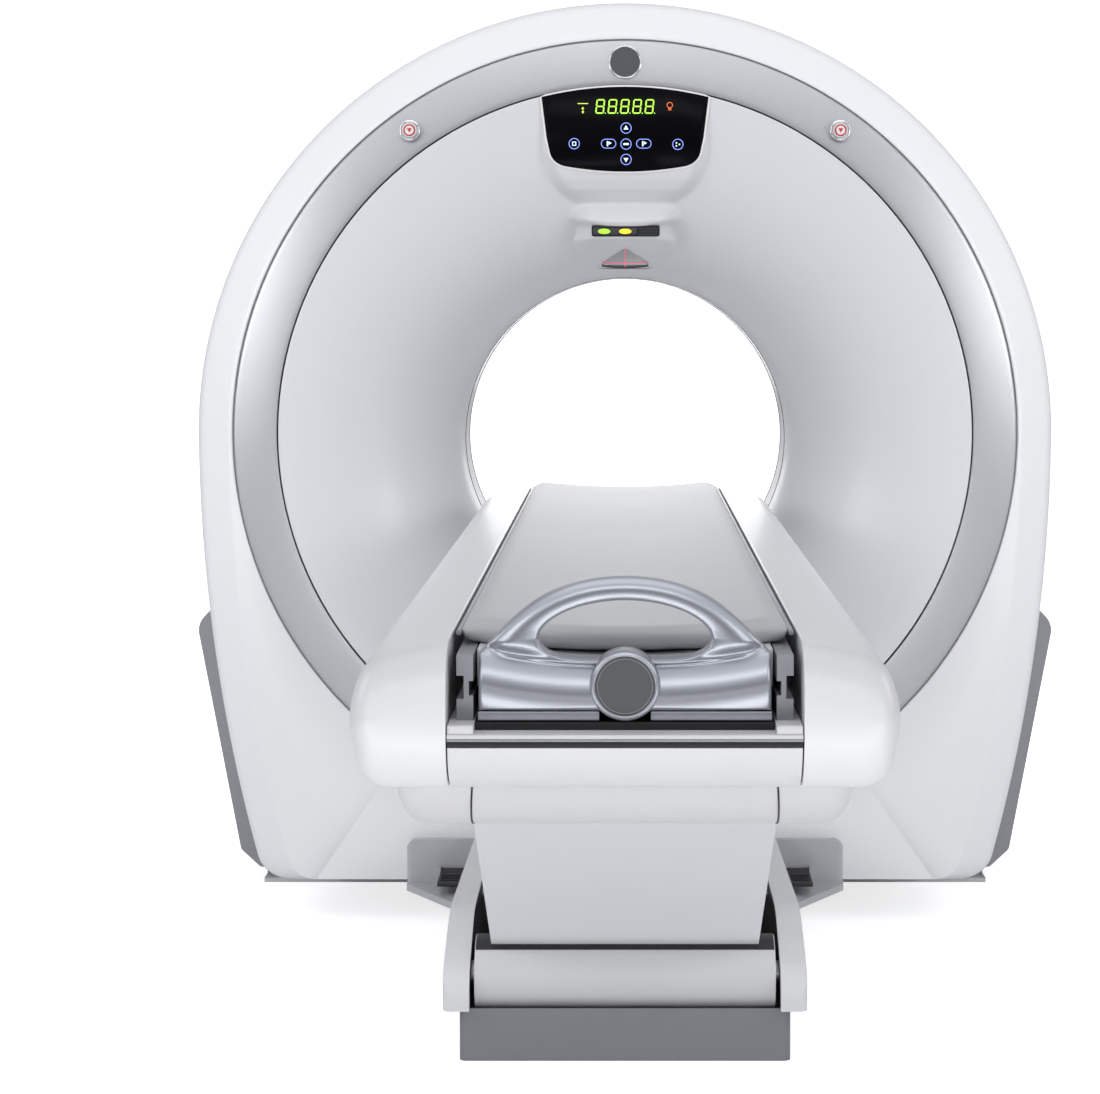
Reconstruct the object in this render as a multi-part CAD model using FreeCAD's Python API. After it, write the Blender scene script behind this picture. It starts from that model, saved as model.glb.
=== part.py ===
import FreeCAD, Part
import math
import os

V = FreeCAD.Vector

# A computed tomography scanner with a tilting gantry and a patient table.
# Millimetres. +X is to the right of somebody who stands at the foot of the table,
# +Y runs from the foot of the table into the bore, +Z is up. The origin is the floor
# point under the isocentre, on the underside of the gantry's floor plate.

# ---- general clearances and walls ----
SLIDE_GAP = 0.3            # between faces of two moving bodies that run on each other
SHAFT_GAP = 0.05           # radial running clearance of a shaft in its bore
COVER_GAP = 1.0            # seam between two covers
COVER_WALL = 6.0           # moulded gantry covers
FUNNEL_WALL = 4.0
FLOOR_PLATE = 10.0         # thickness of the plates on the floor

# ---- gantry: scan plane, bore and trumpets ----
ISO_Z = 1015.0             # height of the isocentre and of the tilt axis
BORE_R = 350.0             # inner radius of the scan window
WINDOW_HALF = 72.0         # half of the scan window's length
WINDOW_WALL = 2.5
FRONT_Y = -402.0           # front plane of the gantry
REAR_Y = 402.0
FACE_Z = 1035.0            # centre of the front ring, a little above the isocentre
RING_R = 808.5             # front ring's outer edge
RING_WIDTH = 92.5
FUNNEL_R = RING_R - RING_WIDTH     # front trumpet's rim, which is the ring's inner edge
REAR_FUNNEL_R = 600.0
RING_BULGE = 6.0
RING_THICK = 14.0

# ---- gantry: covers ----
RIM_DEPTH = 110.0          # from the front plane back to the full width
RIM_ROUND = 83.5           # the front edge's rounding, measured across
RIM_R = RING_R + RIM_ROUND         # largest half-width of the front cover
FRONT_COVER_DEPTH = 202.0
FOOT_HALF = RIM_R - 126.0  # front cover's half-width at its lower edge
COVER_FOOT_Z = 101.0       # front cover's lower edge
COVER_CORNER_R = 60.0
BODY_R = RIM_R - 107.0     # half-width of the middle and rear covers
BODY_FOOT_HALF = BODY_R - 35.0
BODY_FOOT_Z = 112.0
MIDDLE_REAR_Y = 198.0      # seam between the middle and the rear cover
REAR_ROUND = 45.0

# ---- gantry: console above the bore ----
CONSOLE_TOP_HALF = 165.6   # display's half-widths, from its upper corners down
CONSOLE_MID_HALF = 149.0
CONSOLE_LOW_HALF = 120.0
CONSOLE_MID_Z = 1613.0
CONSOLE_FOOT_Z = 1575.0
CONSOLE_RIM = 7.0          # white rim round the display
CONSOLE_PROUD = 2.0        # console's face stands before the front plane
DISPLAY_THICK = 6.0
DISPLAY_PROUD = 2.0
VALLEY_Z = 1515.0          # hollow between the console's underside and the brow
VALLEY_Y = FRONT_Y + 52.0
BROW_Z = 1479.0            # brow's front edge
BROW_Y = FRONT_Y + 30.0
BROW_THICK = 9.0
HOOD_TOP_HALF = 92.0
HOOD_LOW_HALF = 130.0
HOOD_TOP_Y = BROW_Y + 6.0
HOOD_KNEE_Z = 1440.0       # steep front above, long slope to the throat below
HOOD_KNEE_Y = -345.0
HOOD_END_Z = ISO_Z + BORE_R + 4.0
HOOD_END_Y = -140.0        # where the hood runs out into the throat
LIGHT_BAR_HALF = 71.0
LIGHT_BAR_HEIGHT = 20.0
LIGHT_BAR_THICK = 4.0
LASER_HALF = 58.0
LASER_THICK = 5.0

# ---- gantry: emergency stops ----
STOP_ANGLE = 54.9          # degrees above the horizontal, on the ring's middle line
STOP_BEZEL_R = 21.5
STOP_BARREL_R = 17.5
STOP_BUTTON_R = 15.0
STOP_BEZEL_PROUD = 5.0
STOP_BUTTON_PROUD = 4.0
STOP_TRAVEL = 4.0
STOP_DEPTH = 30.0

# ---- gantry: rotating part ----
ROTOR_R = BODY_R - 47.0
ROTOR_BORE_R = 425.0
ROTOR_PLATE_Y = 100.0      # front face of the rotor's plate
ROTOR_PLATE = 40.0
ROTOR_RIM_DEPTH = 60.0     # stiffening rim that stands forward at the plate's edge
ROTOR_RIM_WALL = 12.0
BEARING_R = 470.0          # parting radius of the main bearing
BEARING_WIDTH = 40.0
BEARING_OUTER_WALL = 50.0
BEARING_INNER_WALL = 40.0
SLIP_RING_R = 462.0
SLIP_RING_WALL = 30.0
SLIP_RING_WIDTH = 36.0
FOCUS_R = 570.0            # focal spot's distance from the isocentre
DETECTOR_FACE_R = 440.0    # detector face's distance from the isocentre
DETECTOR_R = FOCUS_R + DETECTOR_FACE_R
FAN_HALF = 25.0            # half of the fan's angle, degrees
DETECTOR_WIDTH = 130.0
DETECTOR_THICK = 70.0

# ---- gantry: tilting frame, drive and trunnions ----
FRAME_R = BODY_R - 25.0
FRAME_BORE_R = 492.0
FRAME_PLATE = 50.0
PAD_SIZE = 24.0            # blocks between the cheeks and the covers
PAD_OFF_Z = 115.0
PAD_MIDDLE_Y = -40.0
PAD_REAR_Y = 216.0
CHEEK_X = ROTOR_R + 10.0   # inner face of the cheeks that carry the trunnions
CHEEK_THICK = 18.0
CHEEK_HALF = 150.0
CHEEK_FRONT_Y = -90.0
TRUNNION_R = 50.0
TRUNNION_END_X = BODY_R + 120.0
PULLEY_R = 60.0
PULLEY_X = BODY_R - 225.0
PULLEY_DROP = BODY_R - 95.0        # pulley's axis below the isocentre
BELT_WIDTH = 28.0
BELT_THICK = 5.0
MOTOR_R = 75.0
MOTOR_LENGTH = 130.0
MOTOR_SHAFT_R = 15.0

# ---- gantry: columns, side covers and floor plate ----
ARM_X = BODY_R + 15.0      # inner face of the column's arm
ARM_THICK = 55.0
ARM_HUB_R = 120.0
ARM_SEAT_Z = 520.0         # where the arm stands on the column's foot
ARM_FOOT_Y = 90.0
COLUMN_REAR_Y = 300.0
COLUMN_WALL = 12.0
POD_FRONT_Y = 30.0
POD_REAR_Y = 330.0
POD_WALL = 6.0
POD_TOP_Z = 640.0
POD_SHOULDER_Z = 590.0
POD_SHOULDER_X = BODY_R + 178.0
POD_FOOT_Z = 35.0
POD_FOOT_X = BODY_R + 41.0
GEARBOX_R = 105.0
GEARBOX_THICK = 62.0
FLOOR_HALF_X = BODY_R + 33.0
FLOOR_WING_Y = 30.0        # front edge of the wings that carry the columns
FLOOR_TONGUE_HALF = 280.0
FLOOR_FRONT_Y = -330.0     # front edge of the tongue towards the table
FLOOR_REAR_Y = 400.0
ANCHOR_R = 9.0
ANCHOR_X = FLOOR_HALF_X - 78.0
ANCHOR_FRONT_Y = 70.0
ANCHOR_REAR_Y = 360.0

# ---- table: base ----
BASE_HALF = 286.0          # grey plinth
PLINTH_HEIGHT = 92.0
PLINTH_WALL = 4.0
BASE_FRONT_Y = -1271.0
BASE_REAR_Y = -470.0
SIDE_PLATE_X = 268.0       # inner face of the steel side plates
SIDE_PLATE = 12.0
SIDE_PLATE_DROP = 6.0      # below the side cover's top
SIDE_COVER_REAR_X = 302.0
SIDE_COVER_FRONT_X = 314.0
SIDE_COVER_TOP_Z = 232.0
SIDE_COVER_NOSE_Y = -1290.0
NOSE_TOP_Y = -1130.0       # the top edge falls from here to the nose
NOSE_LOW_Z = 150.0

# ---- table: lift linkage ----
LOW_PIVOT_Y = -1205.0      # axis of the leg's lower hinge
LOW_PIVOT_Z = 138.0
HIGH_PIVOT_Y = -1692.0     # axis of the leg's upper hinge
HIGH_PIVOT_Z = 690.0
LINK_DY = 330.0            # the rear link's hinges, from the leg's
LINK_DZ = 60.0
PIVOT_R = 20.0
LINK_PIVOT_R = 14.0
DRUM_R = 65.0
DRUM_HALF = 260.0
LEG_LOW_HALF = 230.0
LEG_HIGH_HALF = 250.0
LEG_FACE_ANGLE = 42.6      # degrees above the horizontal
LEG_FACE_OFFSET = 21.0     # the face passes this far behind the lower axis
LEG_LOW_DEPTH = 80.0
LEG_HIGH_DEPTH = 95.0
LEG_WALL = 8.0
LINK_BAR_X = 70.0
LINK_BAR = 20.0
LINK_BAR_HALF = 17.0

# ---- table: carriage ----
TABLE_FOOT_Y = -2730.0
TABLE_HEAD_Y = -290.0
TABLE_HALF = 312.0
TABLE_COVER_INNER = 196.0
TABLE_COVER_FOOT_Z = 757.0
TABLE_COVER_WIDE_Z = TABLE_COVER_FOOT_Z + 104.0
TABLE_COVER_TOP_Z = TABLE_COVER_FOOT_Z + 169.0
TABLE_WALL = 5.0
BEAM_HALF = 165.0
BEAM_FOOT_Z = 763.0
BEAM_WALL = 10.0
TOP_PLATE_Z = 821.0
TOP_PLATE = 16.0
END_PANEL_THICK = 8.0
END_PANEL_TOP_Z = 817.0
END_ROLL = [(0, 0.36), (4, 0.50), (12, 0.66), (28, 0.84), (50, 0.95), (80, 1.0)]
CASING_HALF = 282.0
CASING_FOOT_Z = 652.0
CASING_FRONT_Y = -2560.0
CASING_NOSE_Y = -2300.0    # where its rolled front meets the flat underside
CASING_REAR_Y = -1290.0
CASING_CORNER_R = 40.0
RAIL_INNER = 168.5
RAIL_OUTER = 187.0
RAIL_TOP_Z = 911.0
RAIL_NOTCH = 8.0
STRIP_INNER = 100.0
STRIP_OUTER = 130.0

# ---- table: cradle ----
CRADLE_HALF = 166.0
CRADLE_FLAT_HALF = 140.0
CRADLE_FOOT_Z = 849.0
CRADLE_EDGE_Z = 912.0
CRADLE_SAG = 14.0
PAD_HALF = 194.0
PAD_EDGE = 18.0            # pad's thickness beside its rounded edges
PAD_FOOT_Y = -2613.0
PAD_HEAD_Y = -337.0
PAD_END_ROUND = 24.0
HANDLE_HALF = 163.0
HANDLE_FRONT_Y = -2700.0
HANDLE_THICK = 46.0
HANDLE_FOOT_Z = 849.0
HANDLE_SHOULDER_Z = HANDLE_FOOT_Z + 69.0
HANDLE_TOP_Z = HANDLE_FOOT_Z + 151.0
HANDLE_LEAN = 14.0         # the arch stands back from the lower block's front
BLOCK_TOP_Z = HANDLE_FOOT_Z + 54.0
GRIP_HALF = 97.0
GRIP_FOOT_Z = BLOCK_TOP_Z + 3.0
GRIP_WIDE_Z = GRIP_FOOT_Z + 23.0
GRIP_TOP_Z = HANDLE_TOP_Z - 29.0
BOSS_R = 39.5              # round boss in the middle, and the disc let into it
BOSS_PROUD = 3.0
DISC_R = 30.0
DISC_THICK = 2.0
DISC_Z = 877.5

# ---- table: foot pedals ----
PEDAL_BOX_REAR_Y = -470.0
PEDAL_BOX_SIDE_Y = -500.0
PEDAL_BOX_FRONT_Y = -730.0
PEDAL_BOX_OUTER_X = 446.0
PEDAL_BOX_TOP_Z = 213.0
PEDAL_BOX_FLOOR_Z = 112.0
PEDAL_BOX_FLOOR = 14.0
PEDAL_BOX_WALL = 14.0
PEDAL_LENGTH = 110.0
PEDAL_WIDTH = 46.0
PEDAL_THICK = 9.0
PEDAL_X = 352.0
PEDAL_PIVOT_Y = -505.0
PEDAL_PIVOT_Z = 150.0
PEDAL_AXLE_R = 4.0

# ---- cable duct on the floor between table and gantry ----
DUCT_HALF = 150.0
DUCT_HEIGHT = 10.0
TABLE_PLATE_HALF = BASE_HALF - PLINTH_WALL
TABLE_ANCHOR_X = 200.0
TABLE_ANCHOR_FRONT_Y = -1100.0
TABLE_ANCHOR_REAR_Y = -560.0


# ---- places that follow from the sizes above ----
SIDES = (("left", -1), ("right", 1))
FRONT_SEAM_Y = FRONT_Y + FRONT_COVER_DEPTH
ROTOR_BACK_Y = ROTOR_PLATE_Y + ROTOR_PLATE
FRAME_Y = ROTOR_BACK_Y + BEARING_WIDTH
BELT_Y = ROTOR_PLATE_Y + (ROTOR_PLATE - BELT_WIDTH) / 2
PULLEY_Z = ISO_Z - PULLEY_DROP
TUBE_R = 92.0
TUBE_FRONT_Y = -150.0
TUBE_CENTRE_R = FOCUS_R + 55.0
MODULE_INNER_R = BEARING_R + 30.0
CABINET_WIDTH = 240.0
CABINET_FRONT_Y = -110.0
CABINET_OUTER_R = ROTOR_R - 48.0
LOW_CABINET_WIDTH = 200.0
LOW_CABINET_FRONT_Y = -60.0
LOW_CABINET_OUTER_R = ROTOR_R - 58.0
WEIGHT_INNER_R = BEARING_R + 90.0
WEIGHT_OUTER_R = ROTOR_R - 38.0
WEIGHT_FRONT_Y = 10.0
DATA_UNIT_HALF = DETECTOR_WIDTH / 2 - 15.0
DATA_UNIT_THICK = 95.0
DATA_UNIT_ANGLE = 11.0
LINK_LOW_Y = LOW_PIVOT_Y + LINK_DY
LINK_LOW_Z = LOW_PIVOT_Z + LINK_DZ
LINK_HIGH_Y = HIGH_PIVOT_Y + LINK_DY
LINK_HIGH_Z = HIGH_PIVOT_Z + LINK_DZ
COLUMN_TOP_Z = 540.0
ARM_FLANGE = 25.0
COLUMN_OUTLINE = [
    (BODY_R + 3, FLOOR_PLATE, 0), (BODY_R + 30, FLOOR_PLATE, 0), (BODY_R + 30, 40, 0), (BODY_R + 71, 84, 0),
    (BODY_R + 157, COLUMN_TOP_Z, 0), (BODY_R + 101, COLUMN_TOP_Z, 0), (BODY_R + 98, 525, 0),
    (BODY_R + 81, 395, 0), (BODY_R + 53, 250, 0), (BODY_R + 24, 136, 0),
]
POD_OUTLINE = [
    (BODY_R - 1, POD_FOOT_Z, 0), (POD_FOOT_X, POD_FOOT_Z, 16), (BODY_R + 85, 76, 20),
    (POD_SHOULDER_X, POD_SHOULDER_Z, 45), (BODY_R + 130, POD_TOP_Z, 30), (BODY_R + 91, POD_TOP_Z, 0),
    (BODY_R + 92, POD_SHOULDER_Z, 0), (BODY_R + 89, 525, 0), (BODY_R + 72, 395, 0),
    (BODY_R + 44, 250, 0), (BODY_R + 15, 136, 0),
]


# ---------------------------------------------------------------- helpers

def save(name, shape):
    """Write one sub-part and say what it is."""
    shape.exportStep("parts/%s.step" % name)
    print(name, len(shape.Solids), round(shape.Volume / 1000.0, 1), shape.isValid())


def box(x0, x1, y0, y1, z0, z1):
    return Part.makeBox(x1 - x0, y1 - y0, z1 - z0, V(x0, y0, z0))


def rod_x(r, x0, x1, y, z):
    return Part.makeCylinder(r, x1 - x0, V(x0, y, z), V(1, 0, 0))


def rod_y(r, y0, y1, x, z):
    return Part.makeCylinder(r, y1 - y0, V(x, y0, z), V(0, 1, 0))


def rod_z(r, z0, z1, x, y):
    return Part.makeCylinder(r, z1 - z0, V(x, y, z0), V(0, 0, 1))


def ring_y(r_in, r_out, y0, y1, z):
    return rod_y(r_out, y0, y1, 0, z).cut(rod_y(r_in, y0 - 1, y1 + 1, 0, z))


def mirrored(shape):
    """The same piece on the other side of the plane x = 0."""
    return shape.mirror(V(0, 0, 0), V(1, 0, 0))


def fused(shapes):
    result = shapes[0].multiFuse(shapes[1:])
    return result.removeSplitter()


def arc(p0, p1, p2):
    return Part.Arc(p0, p1, p2).toShape()


def line(p0, p1):
    return Part.LineSegment(p0, p1).toShape()


def rounded_wire(corners, place):
    """Closed outline through (a, b, radius) corners, laid in space by place(a, b)."""
    count = len(corners)
    stretches = []
    for i, (a, b, r) in enumerate(corners):
        here = V(a, b, 0)
        before = V(corners[i - 1][0], corners[i - 1][1], 0)
        after = V(corners[(i + 1) % count][0], corners[(i + 1) % count][1], 0)
        to_before = (before - here).normalize()
        to_after = (after - here).normalize()
        half = to_before.getAngle(to_after) / 2
        if r == 0:
            stretches.append((here, None, here))
            continue
        reach = r / math.tan(half)
        centre = here + (to_before + to_after).normalize() * (r / math.sin(half))
        middle = centre + (here - centre).normalize() * r
        stretches.append((here + to_before * reach, middle, here + to_after * reach))
    edges = []
    for i, (start, middle, end) in enumerate(stretches):
        if middle is not None:
            edges.append(arc(place(start.x, start.y), place(middle.x, middle.y), place(end.x, end.y)))
        following = stretches[(i + 1) % count][0]
        edges.append(line(place(end.x, end.y), place(following.x, following.y)))
    return Part.Wire(edges)


def prism_x(corners, x0, x1):
    """Outline of (y, z, radius) corners, drawn out along X."""
    face = Part.Face(rounded_wire(corners, lambda a, b: V(x0, a, b)))
    return face.extrude(V(x1 - x0, 0, 0))


def prism_y(corners, y0, y1):
    """Outline of (x, z, radius) corners, drawn out along Y."""
    face = Part.Face(rounded_wire(corners, lambda a, b: V(a, y0, b)))
    return face.extrude(V(0, y1 - y0, 0))


def prism_z(corners, z0, z1):
    """Outline of (x, y, radius) corners, drawn out along Z."""
    face = Part.Face(rounded_wire(corners, lambda a, b: V(a, b, z0)))
    return face.extrude(V(0, 0, z1 - z0))


def loft(wires):
    return Part.makeLoft(wires, True, True)


# ---------------------------------------------------------------- gantry outlines

def side_arc_radius(half_top, half_foot, foot_z):
    """Radius of the long side arc that leaves the round top without a kink."""
    drop = FACE_Z - foot_z
    sag = half_top - half_foot
    return (drop * drop + sag * sag) / (2 * sag)


def arch_wire(y, half_top, half_foot, foot_z, corner_r):
    """Round top, two long side arcs that draw in, and a flat foot with round corners."""
    side_r = side_arc_radius(half_top, half_foot, foot_z)
    side_x = half_top - side_r
    corner_z = foot_z + corner_r
    corner_x = side_x + math.sqrt((side_r - corner_r) ** 2 - (FACE_Z - corner_z) ** 2)
    toward = V(corner_x - side_x, 0, corner_z - FACE_Z).normalize()
    low = V(side_x, y, FACE_Z) + toward * side_r
    half_way = (toward + V(1, 0, 0)).normalize()
    side_middle = V(side_x, y, FACE_Z) + half_way * side_r
    bottom = V(corner_x, y, foot_z)
    round_middle = V(corner_x, y, corner_z) + (toward + V(0, 0, -1)).normalize() * corner_r
    top = V(0, y, FACE_Z + half_top)
    slant = half_top / math.sqrt(2)

    def left(p):
        return V(-p.x, p.y, p.z)

    right_end = V(half_top, y, FACE_Z)
    edges = [
        arc(top, V(slant, y, FACE_Z + slant), right_end),
        arc(right_end, side_middle, low),
        arc(low, round_middle, bottom),
        line(bottom, left(bottom)),
        arc(left(bottom), left(round_middle), left(low)),
        arc(left(low), left(side_middle), left(right_end)),
        arc(left(right_end), V(-slant, y, FACE_Z + slant), top),
    ]
    return Part.Wire(edges)


def rim_wire(y, inset):
    """Front cover's outline at one depth, drawn in by the edge's rounding."""
    return arch_wire(y, RIM_R - inset, FOOT_HALF - inset, COVER_FOOT_Z + inset * 0.5, COVER_CORNER_R)


def body_wire(y, inset=0.0):
    """Outline of the middle and rear covers."""
    return arch_wire(y, BODY_R - inset, BODY_FOOT_HALF - inset, BODY_FOOT_Z + inset, COVER_CORNER_R)


def trumpet(rim_r, rim_y, rim_z, steps, wall=0.0):
    """A quarter of an ellipse from the throat out to the rim, as circles for a loft."""
    side = 1 if rim_y > 0 else -1
    depth = abs(rim_y) - WINDOW_HALF
    circles = []
    for i in range(steps + 1):
        t = math.pi / 2 * i / steps
        share = 1 - math.cos(t)
        r = BORE_R + (rim_r - BORE_R) * share + wall * math.cos(t)
        y = side * (WINDOW_HALF + depth * math.sin(t)) - side * wall * math.sin(t)
        z = ISO_Z + (rim_z - ISO_Z) * share
        circle = Part.Circle(V(0, y, z), V(0, 1, 0), r).toShape()
        circles.append(Part.Wire([circle]))
    return circles


# ---------------------------------------------------------------- gantry covers

FRONT_AIR = loft(trumpet(FUNNEL_R, FRONT_Y, FACE_Z, 8))
REAR_AIR = loft(trumpet(REAR_FUNNEL_R, REAR_Y, ISO_Z, 5))


def front_cover():
    """White moulding: round rim, long drawn-in sides and a flat lower face."""
    stations = []
    steps = 4
    for i in range(steps + 1):
        t = math.pi / 2 * i / steps
        stations.append(rim_wire(FRONT_Y + RIM_DEPTH * (1 - math.cos(t)), RIM_ROUND * (1 - math.sin(t))))
    stations.append(rim_wire(FRONT_SEAM_Y, 0))
    wall = COVER_WALL
    hollow = loft([
        rim_wire(FRONT_Y + wall, RIM_ROUND + wall * 2),
        rim_wire(FRONT_Y + RIM_DEPTH * 0.42, RIM_ROUND * 0.2 + wall * 1.6),
        rim_wire(FRONT_Y + RIM_DEPTH, wall),
        rim_wire(FRONT_SEAM_Y - wall, wall),
    ])
    ring_hole = rod_y(RING_R + COVER_GAP, FRONT_Y - 1, FRONT_Y + RIM_DEPTH, 0, FACE_Z)
    rear_hole = loft([body_wire(FRONT_SEAM_Y - 2 * wall, -COVER_GAP), body_wire(FRONT_SEAM_Y + 1, -COVER_GAP)])
    return loft(stations).cut(hollow).cut(ring_hole).cut(rear_hole)


def front_ring():
    """Silver ring between the cover and the trumpet, slightly domed."""
    y = FRONT_Y
    inner = V(FUNNEL_R, y, FACE_Z)
    outer = V(RING_R, y, FACE_Z)
    middle = V((FUNNEL_R + RING_R) / 2, y - RING_BULGE, FACE_Z)
    back_outer = V(RING_R, y + RING_THICK, FACE_Z)
    back_inner = V(FUNNEL_R, y + RING_THICK, FACE_Z)
    edges = [arc(inner, middle, outer), line(outer, back_outer), line(back_outer, back_inner), line(back_inner, inner)]
    ring = Part.Face(Part.Wire(edges)).revolve(V(0, 0, FACE_Z), V(0, 1, 0), 360)
    for x, z in stop_places():
        ring = ring.cut(rod_y(STOP_BARREL_R, y - 50, y + 50, x, z))
    return ring


def front_funnel():
    """Thin trumpet from the ring to the scan window."""
    back = loft(trumpet(FUNNEL_R, FRONT_Y, FACE_Z, 4, FUNNEL_WALL))
    return back.cut(loft(trumpet(FUNNEL_R, FRONT_Y, FACE_Z, 8))).cut(
        rod_y(BORE_R, -WINDOW_HALF - 20, -WINDOW_HALF + 20, 0, ISO_Z))


def rear_funnel():
    back = loft(trumpet(REAR_FUNNEL_R, REAR_Y, ISO_Z, 3, FUNNEL_WALL * 2))
    return back.cut(REAR_AIR)


def scan_window():
    return ring_y(BORE_R, BORE_R + WINDOW_WALL, -WINDOW_HALF, WINDOW_HALF, ISO_Z)


def middle_cover():
    """Closed band over the rotating part, with the holes for the trunnions."""
    y0 = FRONT_SEAM_Y
    y1 = MIDDLE_REAR_Y - COVER_GAP
    band = loft([body_wire(y0), body_wire(y1)])
    band = band.cut(loft([body_wire(y0 - 1, COVER_WALL), body_wire(y1 + 1, COVER_WALL)]))
    return band.cut(rod_x(TRUNNION_R + 4, -RIM_R, RIM_R, 0, ISO_Z))


def rear_cover():
    """Rear moulding with a round front edge to its face and the rear trumpet's opening."""
    wall = COVER_WALL
    y0 = MIDDLE_REAR_Y
    edge = REAR_ROUND
    shell = loft([
        body_wire(y0),
        body_wire(REAR_Y - edge),
        body_wire(REAR_Y - edge * 0.3, edge * 0.3),
        body_wire(REAR_Y, edge),
    ])
    hollow = loft([
        body_wire(y0 - 1, wall),
        body_wire(REAR_Y - edge, wall),
        body_wire(REAR_Y - wall, edge),
    ])
    opening = rod_y(REAR_FUNNEL_R + COVER_GAP, REAR_Y - 3 * wall, REAR_Y + 1, 0, ISO_Z)
    return shell.cut(hollow).cut(opening)


def stop_places():
    """Centres of the two emergency stops, on the ring's middle line."""
    middle_r = (FUNNEL_R + RING_R) / 2
    angle = math.radians(STOP_ANGLE)
    return [(side * middle_r * math.cos(angle), FACE_Z + middle_r * math.sin(angle)) for side in (-1, 1)]


def stop_face_y():
    return FRONT_Y - RING_BULGE


def stop_bezel(x, z):
    """Collar and barrel that hold the button in the ring."""
    face = stop_face_y()
    collar = rod_y(STOP_BEZEL_R, face - STOP_BEZEL_PROUD, face, x, z)
    barrel = rod_y(STOP_BARREL_R, face, face + STOP_DEPTH, x, z)
    bore_r = STOP_BUTTON_R + SHAFT_GAP
    bore = rod_y(bore_r, face - STOP_BEZEL_PROUD - 1, face + STOP_DEPTH - 4, x, z)
    return fused([collar, barrel]).cut(bore)


def stop_button(x, z):
    """Plunger with a domed head; its travel ends before the barrel's floor."""
    face = stop_face_y()
    front = face - STOP_BEZEL_PROUD - STOP_BUTTON_PROUD
    back = face + STOP_DEPTH - 4 - STOP_TRAVEL - 2
    plunger = rod_y(STOP_BUTTON_R, front, back, x, z)
    rim = [e for e in plunger.Edges if e.BoundBox.YMax < front + 0.01 and len(e.Vertexes) == 1]
    return plunger.makeFillet(2.5, rim)


def badge(x, z, r, y_back, thick):
    disc = rod_y(r, y_back - thick, y_back, x, z)
    rim = [e for e in disc.Edges if e.BoundBox.YMax < y_back - thick + 0.01]
    return disc.makeFillet(thick * 0.4, rim)


def console_outline(grow):
    """Front view of the display: square above, drawn in and rounded below."""
    top_z = FACE_Z + FUNNEL_R
    right = [
        (CONSOLE_TOP_HALF + grow, top_z, 0),
        (CONSOLE_MID_HALF + grow, CONSOLE_MID_Z, 40),
        (CONSOLE_LOW_HALF + grow, CONSOLE_FOOT_Z - grow, 16),
    ]
    return right + [(-x, z, r) for x, z, r in reversed(right)]


def rim_disc(y0, y1, grow):
    """Everything inside the trumpet's rim, to give the display its arched top."""
    return rod_y(FUNNEL_R + grow, y0, y1, 0, FACE_Z)


def console_housing():
    """White body that grows out of the trumpet, with a slanted underside and a brow."""
    face = FRONT_Y - CONSOLE_PROUD
    brow_foot = BROW_Z - BROW_THICK
    deep = FRONT_Y + 160
    side_view = prism_x([
        (face, FACE_Z + FUNNEL_R + 5, 0),
        (face, CONSOLE_FOOT_Z - CONSOLE_RIM, 0),
        (VALLEY_Y, VALLEY_Z, 18),
        (BROW_Y, BROW_Z, 5),
        (HOOD_TOP_Y, brow_foot, 0),
        (deep, brow_foot + 8, 0),
        (deep, FACE_Z + FUNNEL_R + 5, 0),
    ], -RIM_R, RIM_R)
    widths = [(CONSOLE_TOP_HALF + CONSOLE_RIM, FACE_Z + FUNNEL_R + 5, 0),
              (CONSOLE_MID_HALF + CONSOLE_RIM, CONSOLE_MID_Z, 40),
              (CONSOLE_LOW_HALF + CONSOLE_RIM, CONSOLE_FOOT_Z - CONSOLE_RIM, 0),
              (HOOD_TOP_HALF + 18, brow_foot, 0)]
    front_view = prism_y(widths + [(-x, z, r) for x, z, r in reversed(widths)], face - 1, deep + 1)
    body = side_view.common(front_view).common(rim_disc(face - 1, deep + 1, 0))
    pocket = prism_y(console_outline(0), face - 1, face + DISPLAY_THICK - DISPLAY_PROUD)
    pocket = pocket.common(rim_disc(face - 1, face + DISPLAY_THICK, -CONSOLE_RIM))
    return body.common(console_space(face)).cut(pocket)


def console_space(face):
    """Air of the front trumpet with the slice before its rim."""
    return FRONT_AIR.fuse(rim_disc(face - 1, FRONT_Y + 0.01, 0))


def display_panel():
    face = FRONT_Y - CONSOLE_PROUD - DISPLAY_PROUD
    panel = prism_y(console_outline(0), face, face + DISPLAY_THICK)
    return panel.common(rim_disc(face - 1, face + DISPLAY_THICK + 1, -CONSOLE_RIM))


def laser_hood():
    """Fairing below the brow: a steep front with the light bar, then a slope with the laser window."""
    top_z = BROW_Z - BROW_THICK
    side_view = prism_x([
        (HOOD_TOP_Y, top_z, 0),
        (HOOD_KNEE_Y, HOOD_KNEE_Z, 0),
        (HOOD_END_Y, HOOD_END_Z, 0),
        (HOOD_END_Y, top_z, 0),
    ], -RIM_R, RIM_R)
    widths = [(HOOD_TOP_HALF, top_z, 0), (HOOD_LOW_HALF, HOOD_KNEE_Z - 20, 20), (LASER_HALF + 10, ISO_Z + BORE_R, 0)]
    front_view = prism_y(widths + [(-x, z, r) for x, z, r in reversed(widths)], FRONT_Y, 0)
    return side_view.common(front_view).common(FRONT_AIR)


def light_bar():
    """Strip of lamps on the hood's steep front."""
    top = V(0, HOOD_TOP_Y, BROW_Z - BROW_THICK)
    down = (V(0, HOOD_KNEE_Y, HOOD_KNEE_Z) - top).normalize()
    out = V(0, down.z, -down.y) * LIGHT_BAR_THICK
    high = top + down * 2
    low = top + down * (2 + LIGHT_BAR_HEIGHT)
    corners = [high, high + out, low + out, low]
    return prism_x([(p.y, p.z, 0) for p in corners], -LIGHT_BAR_HALF, LIGHT_BAR_HALF)


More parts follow.
